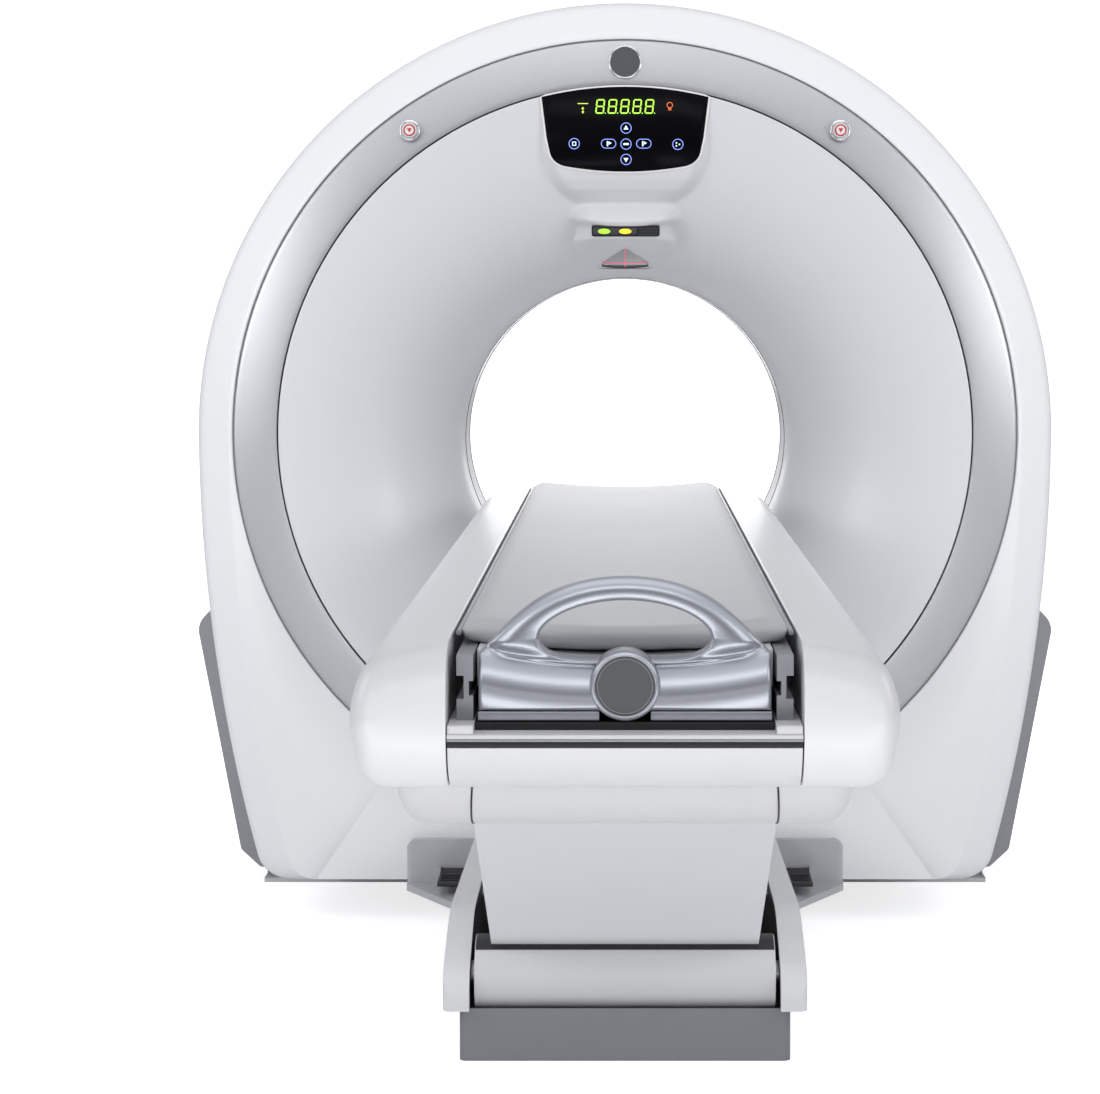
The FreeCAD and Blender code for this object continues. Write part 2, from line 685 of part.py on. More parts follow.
def slope_y(z):
    """Depth of the hood's long slope at a height."""
    share = (HOOD_KNEE_Z - z) / (HOOD_KNEE_Z - HOOD_END_Z)
    return HOOD_KNEE_Y + (HOOD_END_Y - HOOD_KNEE_Y) * share


def laser_window():
    """Rounded triangle, apex up, that lies on the hood's slope."""
    z0 = HOOD_END_Z + 8
    z1 = HOOD_END_Z + 49
    y0 = slope_y(z1)
    y1 = slope_y(z0)
    length = math.hypot(y1 - y0, z1 - z0)
    outline = [(0, length, 14), (-LASER_HALF, 0, 12), (LASER_HALF, 0, 12)]
    along = V(0, y0 - y1, z1 - z0).normalize()
    normal = V(0, -along.z, along.y)
    foot = V(0, y1, z0) + normal * -1.0
    face = Part.Face(rounded_wire(outline, lambda a, b: foot + V(1, 0, 0) * a + along * b))
    return face.extrude(normal * LASER_THICK)


# ---------------------------------------------------------------- tilting frame and rotor


def cover_pads():
    """Blocks on the cheeks that the middle and rear covers rest against."""
    inside = loft([body_wire(FRONT_SEAM_Y, COVER_WALL), body_wire(REAR_Y - REAR_ROUND, COVER_WALL)])
    x0 = CHEEK_X + CHEEK_THICK - 2
    blocks = []
    for y in (PAD_MIDDLE_Y, PAD_REAR_Y):
        for z in (ISO_Z - PAD_OFF_Z, ISO_Z + PAD_OFF_Z):
            block = box(x0, RIM_R, y - PAD_SIZE / 2, y + PAD_SIZE / 2, z - PAD_SIZE / 2, z + PAD_SIZE / 2)
            block = block.common(inside)
            blocks += [block, mirrored(block)]
    return blocks


def tilt_frame():
    """Ring plate with two cheeks, a motor lug and the trunnion pins."""
    y0 = FRAME_Y
    y1 = FRAME_Y + FRAME_PLATE
    plate = rod_y(FRAME_R, y0, y1, 0, ISO_Z)
    reach = CHEEK_X + CHEEK_THICK
    yoke = box(-reach, reach, y0, y1, ISO_Z - CHEEK_HALF, ISO_Z + CHEEK_HALF)
    lug = prism_y([
        (PULLEY_X - 120, PULLEY_Z - 95, 30),
        (PULLEY_X + 110, PULLEY_Z - 95, 30),
        (PULLEY_X + 110, PULLEY_Z + 260, 0),
        (PULLEY_X - 120, PULLEY_Z + 90, 0),
    ], y0, y1)
    body = fused([plate, yoke, lug]).cut(rod_y(FRAME_BORE_R, y0 - 1, y1 + 1, 0, ISO_Z))
    parts = [body]
    for side in (-1, 1):
        inner = side * CHEEK_X
        outer = side * reach
        cheek = box(min(inner, outer), max(inner, outer), CHEEK_FRONT_Y, y1, ISO_Z - CHEEK_HALF, ISO_Z + CHEEK_HALF)
        end = side * TRUNNION_END_X
        pin = rod_x(TRUNNION_R, min(inner, end), max(inner, end), 0, ISO_Z)
        parts += [cheek, pin]
    frame = fused(parts + cover_pads())
    return frame.cut(rod_y(MOTOR_SHAFT_R + 5, y0 - 1, y1 + 1, PULLEY_X, PULLEY_Z))


def bearing_outer():
    return ring_y(BEARING_R, BEARING_R + BEARING_OUTER_WALL, ROTOR_BACK_Y + COVER_GAP, FRAME_Y, ISO_Z)


def bearing_inner():
    r = BEARING_R - SHAFT_GAP
    return ring_y(BEARING_R - BEARING_INNER_WALL, r, ROTOR_BACK_Y, FRAME_Y, ISO_Z)


def slip_ring():
    return ring_y(SLIP_RING_R - SLIP_RING_WALL, SLIP_RING_R, FRAME_Y, FRAME_Y + SLIP_RING_WIDTH, ISO_Z)


def brush_block():
    """Carbon brush holder, seated in the frame's bore, a hair off the slip ring."""
    y0 = FRAME_Y + 4
    block = box(-45, 45, y0, y0 + SLIP_RING_WIDTH - 8, ISO_Z - FRAME_BORE_R - 10, ISO_Z)
    block = block.common(rod_y(FRAME_BORE_R, y0, y0 + SLIP_RING_WIDTH, 0, ISO_Z))
    return block.cut(rod_y(SLIP_RING_R + SLIDE_GAP, y0 - 1, y0 + SLIP_RING_WIDTH, 0, ISO_Z))


def rotor_drum():
    """Plate that carries all rotating modules, with a rim for the belt."""
    plate = ring_y(ROTOR_BORE_R, ROTOR_R, ROTOR_PLATE_Y, ROTOR_BACK_Y, ISO_Z)
    rim = ring_y(ROTOR_R - ROTOR_RIM_WALL, ROTOR_R, ROTOR_PLATE_Y - ROTOR_RIM_DEPTH, ROTOR_PLATE_Y, ISO_Z)
    return plate.fuse(rim).removeSplitter()


def at_angle(shape, degrees):
    """Turn a module that was made at the top of the rotor, clockwise from the front."""
    turned = shape.copy()
    turned.rotate(V(0, 0, ISO_Z), V(0, 1, 0), degrees)
    return turned


def xray_tube():
    """Tube housing: a can with a narrower end and the beam's window below."""
    z = ISO_Z + TUBE_CENTRE_R
    can = rod_y(TUBE_R, TUBE_FRONT_Y + 30, ROTOR_PLATE_Y, 0, z)
    end = rod_y(TUBE_R * 0.72, TUBE_FRONT_Y, TUBE_FRONT_Y + 30, 0, z)
    port = box(-55, 55, -45, 45, ISO_Z + FOCUS_R - 50, z - TUBE_R * 0.5)
    return fused([can, end, port])


def collimator():
    """Box with the beam slot under the tube's port."""
    top_z = ISO_Z + FOCUS_R - 50
    body = box(-95, 95, -60, ROTOR_PLATE_Y, top_z - 75, top_z)
    slot = prism_y([(-14, top_z + 1, 0), (-60, top_z - 76, 0), (60, top_z - 76, 0), (14, top_z + 1, 0)], -12, 12)
    return body.cut(slot)


def fan_sector(r_in, r_out, y0, y1, half):
    """Sector of a ring round the focal spot."""
    focus_z = ISO_Z + FOCUS_R

    def at(r, degrees):
        a = math.radians(degrees)
        return V(r * math.sin(a), y0, focus_z - r * math.cos(a))

    edges = [
        arc(at(r_in, -half), at(r_in, 0), at(r_in, half)),
        line(at(r_in, half), at(r_out, half)),
        arc(at(r_out, half), at(r_out, 0), at(r_out, -half)),
        line(at(r_out, -half), at(r_in, -half)),
    ]
    return Part.Face(Part.Wire(edges)).extrude(V(0, y1 - y0, 0))


def detector():
    half = DETECTOR_WIDTH / 2
    face = fan_sector(DETECTOR_R, DETECTOR_R + DETECTOR_THICK * 0.4, -half, half, FAN_HALF)
    back = fan_sector(DETECTOR_R + DETECTOR_THICK * 0.4, DETECTOR_R + DETECTOR_THICK, -half, ROTOR_PLATE_Y, FAN_HALF + 1.5)
    return fused([face, back])


def data_unit():
    """Read-out electronics behind the detector."""
    top = DETECTOR_R + DETECTOR_THICK
    return fan_sector(top, top + DATA_UNIT_THICK, -DATA_UNIT_HALF, ROTOR_PLATE_Y, DATA_UNIT_ANGLE)


def rotor_module(width, r_in, r_out, front_y, degrees):
    """Closed cabinet with rounded long edges, bolted to the plate."""
    half = width / 2
    z0 = ISO_Z + r_in
    z1 = ISO_Z + r_out
    body = prism_y([(-half, z0, 8), (half, z0, 8), (half, z1, 20), (-half, z1, 20)], front_y, ROTOR_PLATE_Y)
    return at_angle(body, degrees)


def heat_exchanger(degrees):
    """Finned cooler for the tube's oil."""
    z0 = ISO_Z + MODULE_INNER_R
    z1 = ISO_Z + ROTOR_R - 78
    body = box(-110, 110, -90, ROTOR_PLATE_Y, z0, z1)
    for i in range(6):
        x = -90 + 36 * i
        body = body.cut(box(x - 6, x + 6, -91, -40, z0 + 15, z1 - 15))
    return at_angle(body, degrees)


def drive_motor():
    """Motor bolted to the frame's lug, its shaft reaching forward to the pulley."""
    y0 = FRAME_Y + FRAME_PLATE
    body = rod_y(MOTOR_R, y0, y0 + MOTOR_LENGTH, PULLEY_X, PULLEY_Z)
    collar = rod_y(MOTOR_SHAFT_R + 5, y0 - FRAME_PLATE, y0, PULLEY_X, PULLEY_Z)
    bore = rod_y(MOTOR_SHAFT_R + SHAFT_GAP, y0 - FRAME_PLATE - 1, y0 + MOTOR_LENGTH - 20, PULLEY_X, PULLEY_Z)
    return fused([body, collar]).cut(bore)


def motor_pulley():
    y0 = BELT_Y - 4
    wheel = rod_y(PULLEY_R, y0, y0 + BELT_WIDTH + 8, PULLEY_X, PULLEY_Z)
    shaft_end = FRAME_Y + FRAME_PLATE + MOTOR_LENGTH - 22
    shaft = rod_y(MOTOR_SHAFT_R, y0, shaft_end, PULLEY_X, PULLEY_Z)
    return fused([wheel, shaft])


def loop_wire(y, grow):
    """Outline of the belt round rotor and pulley, grown by a distance."""
    big_r = ROTOR_R + grow
    small_r = PULLEY_R + grow
    distance = math.hypot(PULLEY_X, PULLEY_DROP)
    along = V(PULLEY_X / distance, 0, -PULLEY_DROP / distance)
    across = V(along.z, 0, -along.x)
    lean = (big_r - small_r) / distance
    big = V(0, y, ISO_Z)
    small = V(PULLEY_X, y, PULLEY_Z)
    ends = []
    for side in (1, -1):
        normal = along * lean + across * (side * math.sqrt(1 - lean * lean))
        ends.append((big + normal * big_r, small + normal * small_r))
    (big_a, small_a), (big_b, small_b) = ends
    edges = [
        arc(big_b, big - along * big_r, big_a),
        line(big_a, small_a),
        arc(small_a, small + along * small_r, small_b),
        line(small_b, big_b),
    ]
    return Part.Wire(edges)


def drive_belt():
    outer = Part.Face(loop_wire(BELT_Y, SLIDE_GAP + BELT_THICK)).extrude(V(0, BELT_WIDTH, 0))
    inner = Part.Face(loop_wire(BELT_Y, SLIDE_GAP)).extrude(V(0, BELT_WIDTH, 0))
    return outer.cut(inner)


# ---------------------------------------------------------------- columns and floor


def column(side):
    """Welded box foot of one side of the gantry's stand."""
    face = Part.Face(rounded_wire(COLUMN_OUTLINE, lambda a, b: V(side * a, 60, b)))
    inner = face.makeOffset2D(-COLUMN_WALL, 2)
    inner.translate(V(0, COLUMN_WALL, 0))
    depth = COLUMN_REAR_Y - 60
    return face.extrude(V(0, depth, 0)).cut(inner.extrude(V(0, depth - 2 * COLUMN_WALL, 0)))


def arm(side):
    """Cast arm from the column's top, forward and up to the trunnion's bearing."""
    z0 = COLUMN_TOP_Z
    hub = ARM_HUB_R * 0.94
    plate = prism_x([
        (ARM_FOOT_Y, ARM_SEAT_Z, 20),
        (COLUMN_REAR_Y, ARM_SEAT_Z, 20),
        (COLUMN_REAR_Y, z0 + 160, 150),
        (hub, ISO_Z + 40, 0),
        (-hub, ISO_Z - 40, 0),
    ], ARM_X, ARM_X + ARM_THICK)
    disc = rod_x(ARM_HUB_R, ARM_X, ARM_X + ARM_THICK, 0, ISO_Z)
    flange = box(ARM_X, BODY_R + 151, ARM_FOOT_Y, COLUMN_REAR_Y, z0, z0 + ARM_FLANGE)
    shape = fused([plate, disc, flange])
    shape = shape.cut(rod_x(TRUNNION_R + SHAFT_GAP, ARM_X - 1, ARM_X + ARM_THICK + 1, 0, ISO_Z))
    return shape if side > 0 else mirrored(shape)


def side_cover(side):
    """Grey cover over the column, open below and where the arm comes out."""
    face = Part.Face(rounded_wire(POD_OUTLINE, lambda a, b: V(a, POD_FRONT_Y, b)))
    depth = POD_REAR_Y - POD_FRONT_Y
    inner = face.makeOffset2D(-POD_WALL, 2)
    inner.translate(V(0, POD_WALL, 0))
    shell = face.extrude(V(0, depth, 0)).cut(inner.extrude(V(0, depth - 2 * POD_WALL, 0)))
    shell = shell.cut(box(BODY_R - 2, BODY_R + 32, 58, COLUMN_REAR_Y + 2, 0, 60))
    z0 = COLUMN_TOP_Z
    shell = shell.cut(box(BODY_R + 65, BODY_R + 105, ARM_FOOT_Y - 4, COLUMN_REAR_Y + 4, z0 - 4, z0 + ARM_FLANGE + 4))
    return shell if side > 0 else mirrored(shell)


def tilt_gearbox():
    """Slewing gearbox that turns the right trunnion, bolted to the arm."""
    x0 = ARM_X + ARM_THICK
    body = rod_x(GEARBOX_R, x0, x0 + GEARBOX_THICK, 0, ISO_Z)
    motor = rod_x(38, x0, x0 + GEARBOX_THICK, 60, ISO_Z - GEARBOX_R - 10)
    bore = rod_x(TRUNNION_R + SHAFT_GAP, x0 - 1, TRUNNION_END_X + 2, 0, ISO_Z)
    return fused([body, motor]).cut(bore)


def trunnion_cap():
    """Blind bearing cap of the left trunnion."""
    x0 = ARM_X + ARM_THICK
    body = rod_x(TRUNNION_R + 28, x0, x0 + GEARBOX_THICK, 0, ISO_Z)
    bore = rod_x(TRUNNION_R + SHAFT_GAP, x0 - 1, TRUNNION_END_X + 2, 0, ISO_Z)
    return mirrored(body.cut(bore))


def gantry_floor_plate():
    """Wings under the columns and a tongue forward to the table."""
    wings = box(-FLOOR_HALF_X, FLOOR_HALF_X, FLOOR_WING_Y, FLOOR_REAR_Y, 0, FLOOR_PLATE)
    tongue = box(-FLOOR_TONGUE_HALF, FLOOR_TONGUE_HALF, FLOOR_FRONT_Y, FLOOR_WING_Y, 0, FLOOR_PLATE)
    plate = fused([wings, tongue])
    for x in (-ANCHOR_X, ANCHOR_X):
        for y in (ANCHOR_FRONT_Y, ANCHOR_REAR_Y):
            plate = plate.cut(rod_z(ANCHOR_R, -1, FLOOR_PLATE + 1, x, y))
    return plate


def cable_duct():
    """Flat duct on the floor that ties table and gantry together."""
    return box(-DUCT_HALF, DUCT_HALF, BASE_REAR_Y, FLOOR_FRONT_Y, 0, DUCT_HEIGHT)


# ---------------------------------------------------------------- table base

def nose_outline(foot_z, drop, front_gap=0.0):
    """Side view of the table's base: flat top that curves down to a steep nose."""
    top = SIDE_COVER_TOP_Z - drop
    nose = SIDE_COVER_NOSE_Y + drop + front_gap
    return [
        (BASE_REAR_Y - drop, foot_z, 0),
        (BASE_REAR_Y - drop, top, 20),
        (NOSE_TOP_Y, top, 180),
        (nose, NOSE_LOW_Z - drop, 60),
        (nose, foot_z, 0),
    ]


def side_plate_outline():
    return nose_outline(FLOOR_PLATE, SIDE_PLATE_DROP, 19)


def table_base_frame():
    """Floor plate with two upright side plates that carry both hinge shafts."""
    half = TABLE_PLATE_HALF
    front = BASE_FRONT_Y + PLINTH_WALL
    plate = box(-half, half, front, BASE_REAR_Y - PLINTH_WALL, 0, FLOOR_PLATE)
    upright = prism_x(side_plate_outline(), SIDE_PLATE_X, SIDE_PLATE_X + SIDE_PLATE)
    rib = box(-SIDE_PLATE_X, SIDE_PLATE_X, -700, -690, FLOOR_PLATE, 150)
    frame = fused([plate, upright, mirrored(upright), rib])
    frame = frame.cut(rod_x(PIVOT_R, -half, half, LOW_PIVOT_Y, LOW_PIVOT_Z))
    frame = frame.cut(rod_x(LINK_PIVOT_R, -half, half, LINK_LOW_Y, LINK_LOW_Z))
    for x in (-TABLE_ANCHOR_X, TABLE_ANCHOR_X):
        for y in (TABLE_ANCHOR_FRONT_Y, TABLE_ANCHOR_REAR_Y):
            frame = frame.cut(rod_z(ANCHOR_R, -1, FLOOR_PLATE + 1, x, y))
    return frame


def pivot_shaft(r, half, y, z):
    return rod_x(r, -half, half, y, z)


def base_side_cover(side):
    """White cover that wraps a side plate, wider towards the foot end."""
    x0 = SIDE_PLATE_X
    reach = SIDE_COVER_FRONT_X
    solid = prism_x(nose_outline(PLINTH_HEIGHT, 0), x0, reach)
    wedge = prism_z([
        (x0, SIDE_COVER_NOSE_Y, 0), (x0, BASE_REAR_Y, 0),
        (SIDE_COVER_REAR_X, BASE_REAR_Y, 0), (reach, SIDE_COVER_NOSE_Y, 14),
    ], 0, SIDE_COVER_TOP_Z + 1)
    solid = solid.common(wedge)
    solid = solid.cut(prism_x(side_plate_outline(), x0 - 1, x0 + SIDE_PLATE))
    return solid if side > 0 else mirrored(solid)


def plinth():
    """Grey skirt round the foot of the table's base."""
    y0 = BASE_FRONT_Y
    y1 = BASE_REAR_Y
    half = BASE_HALF
    wall = PLINTH_WALL
    outer = prism_z([(-half, y0, 12), (half, y0, 12), (half, y1, 12), (-half, y1, 12)], 0, PLINTH_HEIGHT)
    inner = prism_z([
        (-half + wall, y0 + wall, 0), (half - wall, y0 + wall, 0),
        (half - wall, y1 - wall, 0), (-half + wall, y1 - wall, 0),
    ], -1, PLINTH_HEIGHT + 1)
    skirt = outer.cut(inner)
    return skirt.cut(box(-DUCT_HALF, DUCT_HALF, y1 - wall - 1, y1 + 1, -1, DUCT_HEIGHT + COVER_GAP))


def leg_point(x, s, b):
    """Point of the leg: s along its face from the lower axis, b behind that axis's line."""
    a = math.radians(LEG_FACE_ANGLE)
    y = LOW_PIVOT_Y - s * math.cos(a) + b * math.sin(a)
    z = LOW_PIVOT_Z + s * math.sin(a) + b * math.cos(a)
    return V(x, y, z)


def leg_section(s, half, b0, b1):
    corners = [leg_point(-half, s, b0), leg_point(half, s, b0), leg_point(half, s, b1), leg_point(-half, s, b1)]
    return Part.makePolygon(corners + [corners[0]])


def leg():
    """Tapered channel, open towards the gantry, with a tube for the upper shaft."""
    a = math.radians(LEG_FACE_ANGLE)
    rise_y = LOW_PIVOT_Y - HIGH_PIVOT_Y
    rise_z = HIGH_PIVOT_Z - LOW_PIVOT_Z
    length = rise_y * math.cos(a) + rise_z * math.sin(a)
    s0 = -10.0
    s1 = length + 30.0
    b0 = LEG_FACE_OFFSET
    wall = LEG_WALL
    outer = loft([
        leg_section(s0, LEG_LOW_HALF, b0, b0 + LEG_LOW_DEPTH),
        leg_section(s1, LEG_HIGH_HALF, b0, b0 + LEG_HIGH_DEPTH),
    ])
    hollow = loft([
        leg_section(s0 - 1, LEG_LOW_HALF - wall, b0 + wall, b0 + LEG_LOW_DEPTH + 10),
        leg_section(s1 + 1, LEG_HIGH_HALF - wall, b0 + wall, b0 + LEG_HIGH_DEPTH + 10),
    ])
    tube = pivot_shaft(PIVOT_R + 14, LEG_HIGH_HALF, HIGH_PIVOT_Y, HIGH_PIVOT_Z)
    channel = fused([outer.cut(hollow), tube])
    channel = channel.cut(pivot_shaft(DRUM_R, DRUM_HALF, LOW_PIVOT_Y, LOW_PIVOT_Z))
    return channel.cut(pivot_shaft(PIVOT_R + SHAFT_GAP, TABLE_HALF, HIGH_PIVOT_Y, HIGH_PIVOT_Z))


def leg_drum():
    """Round lower end of the leg, which turns on the shaft between the side plates."""
    drum = pivot_shaft(DRUM_R, DRUM_HALF, LOW_PIVOT_Y, LOW_PIVOT_Z)
    return drum.cut(pivot_shaft(PIVOT_R + SHAFT_GAP, DRUM_HALF + 1, LOW_PIVOT_Y, LOW_PIVOT_Z))


def rear_link():
    """Two bars between cross tubes, parallel to the line of the leg's hinges."""
    tube_r = LINK_PIVOT_R + 10
    half = LINK_BAR_X + LINK_BAR + 25
    dy = LINK_HIGH_Y - LINK_LOW_Y
    dz = LINK_HIGH_Z - LINK_LOW_Z
    length = math.hypot(dy, dz)
    across = V(0, -dz, dy).multiply(LINK_BAR_HALF / length)
    low = V(LINK_BAR_X, LINK_LOW_Y, LINK_LOW_Z)
    high = V(LINK_BAR_X, LINK_HIGH_Y, LINK_HIGH_Z)
    outline = [low + across, high + across, high - across, low - across]
    bar = Part.Face(Part.makePolygon(outline + [outline[0]])).extrude(V(LINK_BAR, 0, 0))
    shapes = [bar, mirrored(bar)]
    bores = []
    for y, z in ((LINK_LOW_Y, LINK_LOW_Z), (LINK_HIGH_Y, LINK_HIGH_Z)):
        shapes.append(pivot_shaft(tube_r, half, y, z))
        bores.append(pivot_shaft(LINK_PIVOT_R + SHAFT_GAP, half + 1, y, z))
    link = fused(shapes)
    return link.cut(bores[0]).cut(bores[1])


# ---------------------------------------------------------------- table carriage

def lift_bracket():
    """Cross plate with two ears for the leg's upper shaft."""
    half = DRUM_HALF + 14
    top = TABLE_COVER_FOOT_Z
    y = HIGH_PIVOT_Y
    plate = box(-half, half, y - 75, y + 75, top - 8, top)
    pad = box(-BEAM_HALF, BEAM_HALF, y - 75, y + 75, top, BEAM_FOOT_Z)
    ear = prism_x([
        (y - 60, top, 0), (y - PIVOT_R - 18, HIGH_PIVOT_Z - PIVOT_R - 15, 15),
        (y + PIVOT_R + 18, HIGH_PIVOT_Z - PIVOT_R - 15, 15), (y + 60, top, 0),
    ], DRUM_HALF + 2, half)
    bracket = fused([plate, pad, ear, mirrored(ear)])
    return bracket.cut(pivot_shaft(PIVOT_R, half + 1, y, HIGH_PIVOT_Z))


def link_bracket():
    """Two ears under the beam's top for the rear link's upper shaft."""
    x0 = LINK_BAR_X + LINK_BAR + 27
    x1 = x0 + 12
    y = LINK_HIGH_Y
    ceiling = TOP_PLATE_Z - BEAM_WALL
    ear = prism_x([
        (y - 60, ceiling, 0), (y - 28, LINK_HIGH_Z - 28, 12), (y + 28, LINK_HIGH_Z - 28, 12), (y + 60, ceiling, 0),
    ], x0, x1)
    pad = box(-x1, x1, y - 60, y + 60, ceiling - 6, ceiling)
    bracket = fused([ear, mirrored(ear), pad])
    return bracket.cut(pivot_shaft(LINK_PIVOT_R, x1 + 1, y, LINK_HIGH_Z))


def table_beam():
    """Channel beam, open below, the full length of the table."""
    y0 = TABLE_FOOT_Y + END_ROLL[-1][0] + 20
    y1 = TABLE_HEAD_Y - END_PANEL_THICK
    outer = box(-BEAM_HALF, BEAM_HALF, y0, y1, BEAM_FOOT_Z, TOP_PLATE_Z)
    inner = box(-BEAM_HALF + BEAM_WALL, BEAM_HALF - BEAM_WALL, y0 - 1, y1 + 1, BEAM_FOOT_Z - 1, TOP_PLATE_Z - BEAM_WALL)
    return outer.cut(inner)


def top_plate():
    """Plate on the beam that carries rails and side covers; its edge shows at the foot end."""
    half = TABLE_COVER_INNER
    return box(-half, half, TABLE_FOOT_Y + 2, TABLE_HEAD_Y - 2, TOP_PLATE_Z, TOP_PLATE_Z + TOP_PLATE)


def cover_middle_z():
    return (TABLE_COVER_FOOT_Z + TABLE_COVER_TOP_Z) / 2


def foot_panel():
    """Panel at the foot end; it rolls under the table on the same curve as the side covers."""
    half = TABLE_COVER_INNER - COVER_GAP / 2
    high = TABLE_COVER_TOP_Z - cover_middle_z()
    outer = [(TABLE_FOOT_Y, END_PANEL_TOP_Z, 0)]
    outer += [(TABLE_FOOT_Y + depth, cover_middle_z() - high * share, 0) for depth, share in END_ROLL]
    wall = END_PANEL_THICK
    inner = [(y + wall, z + wall, 0) for y, z, r in outer if z + wall < END_PANEL_TOP_Z]
    inner.insert(0, (TABLE_FOOT_Y + wall, END_PANEL_TOP_Z, 0))
    return prism_x(outer + inner[::-1], -half, half)


def head_panel():
    half = TABLE_COVER_INNER - COVER_GAP / 2
    return box(-half, half, TABLE_HEAD_Y - END_PANEL_THICK, TABLE_HEAD_Y, TABLE_COVER_FOOT_Z, TOP_PLATE_Z)


def table_cover_section(y, height, width):
    """Cross-section of a side cover, drawn in to shares of its full height and width."""
    x0 = TABLE_COVER_INNER
    foot = TABLE_COVER_FOOT_Z
    top = TABLE_COVER_TOP_Z
    corners = [
        (x0, foot, 0),
        (TABLE_HALF - 36, foot, 22),
        (TABLE_HALF, TABLE_COVER_WIDE_Z, 60),
        (TABLE_HALF - 16, top - 22, 16),
        (x0, top, 0),
    ]
    middle = cover_middle_z()
    return rounded_wire(corners, lambda a, b: V(x0 + (a - x0) * width, y, middle + (b - middle) * height))


def table_side_cover(side):
    """Long shell beside the cradle; its foot end is a full roll, its head end is rounded off."""
    y0 = TABLE_FOOT_Y
    y1 = TABLE_HEAD_Y
    stations = [(y0 + depth, share, 1 - (1 - share) * 0.3) for depth, share in END_ROLL]
    stations += [(y1 - 50, 1.0, 1.0), (y1 - 14, 0.96, 0.96), (y1, 0.88, 0.90)]
    shell = loft([table_cover_section(y, height, width) for y, height, width in stations])
    wall = TABLE_WALL
    x1 = TABLE_HALF - wall
    hollow = prism_y([
        (TABLE_COVER_INNER + wall, TABLE_COVER_FOOT_Z + wall, 0),
        (x1 - 38, TABLE_COVER_FOOT_Z + wall, 16),
        (x1 - 1, TABLE_COVER_WIDE_Z, 50),
        (x1 - 18, TABLE_COVER_TOP_Z - 22 - wall, 10),
        (TABLE_COVER_INNER + wall, TABLE_COVER_TOP_Z - wall - 1, 0),
    ], y0 + END_ROLL[-1][0] + wall, y1 - 52)
    shell = shell.cut(hollow)
    return shell if side > 0 else mirrored(shell)


def lower_casing():
    """Casing of the lift's head under the table: rolled front, open above, below and behind."""
    half = CASING_HALF
    wall = TABLE_WALL
    r = CASING_CORNER_R
    foot = CASING_FOOT_Z
    top = TABLE_COVER_FOOT_Z
    y0 = CASING_FRONT_Y
    y1 = CASING_REAR_Y

    def body(inset):
        low = foot + inset
        front = y0 + inset * 1.5
        nose = CASING_NOSE_Y
        middle = V(0, nose - (nose - front) * 0.76, low + (top - low) * 0.36)
        edges = [
            arc(V(0, front, top), middle, V(0, nose, low)),
            line(V(0, nose, low), V(0, y1, low)),
            line(V(0, y1, low), V(0, y1, top)),
            line(V(0, y1, top), V(0, front, top)),
        ]
        side_view = Part.Face(Part.Wire(edges)).extrude(V(2 * half, 0, 0))
        side_view.translate(V(-half, 0, 0))
        h = half - inset
        front_view = prism_y([(-h, low, r - inset), (h, low, r - inset), (h, top, 0), (-h, top, 0)], y0, y1)
        plan = prism_z([(-h, y0 + inset, r), (h, y0 + inset, r), (h, y1, 0), (-h, y1, 0)], foot, top)
        return side_view.common(front_view).common(plan)

    open_below = box(-half + wall, half - wall, CASING_NOSE_Y + 60, y1 + 1, foot - 1, foot + r)
    open_behind = box(-half + wall, half - wall, y1 - 1, y1 + 1, foot + wall, top + 1)
    return body(0).cut(body(wall)).cut(open_below).cut(open_behind)


def rail(side):
    """Guide rail with a groove in each face; its foot end shows beside the handle."""
    x0 = RAIL_INNER
    x1 = RAIL_OUTER
    z0 = TOP_PLATE_Z + TOP_PLATE
    z1 = RAIL_TOP_Z
    middle = (z0 + z1) / 2
    y0 = HANDLE_FRONT_Y + 8
    y1 = TABLE_HEAD_Y - 20
    body = box(x0, x1, y0, y1, z0, z1)
    body = body.cut(box(x1 - RAIL_NOTCH, x1 + 1, y0 - 1, y1 + 1, middle - 12, middle + 14))
    body = body.cut(box(x0 - 1, x0 + RAIL_NOTCH * 0.6, y0 - 1, y1 + 1, middle - 8, middle + 8))
    return body if side > 0 else mirrored(body)


def slide_strip(side):
    z0 = TOP_PLATE_Z + TOP_PLATE
    strip = box(STRIP_INNER, STRIP_OUTER, HANDLE_FRONT_Y + 60, TABLE_HEAD_Y - 30, z0, CRADLE_FOOT_Z - SLIDE_GAP)
    return strip if side > 0 else mirrored(strip)


def cradle_motor():
    """Gear motor of the cradle's drive, hung inside the beam."""
    y = TABLE_HEAD_Y - 260
    ceiling = TOP_PLATE_Z - BEAM_WALL
    body = rod_x(22, -110, 60, y, ceiling - 24)
    foot = box(-80, 40, y - 22, y + 22, ceiling - 24, ceiling)
    gear = rod_x(24, 60, 110, y, ceiling - 24)
    return fused([body, foot, gear])


# ---------------------------------------------------------------- cradle

def sagged_arc(y, half, edge_z, sag):
    return arc(V(-half, y, edge_z), V(0, y, edge_z - sag), V(half, y, edge_z))


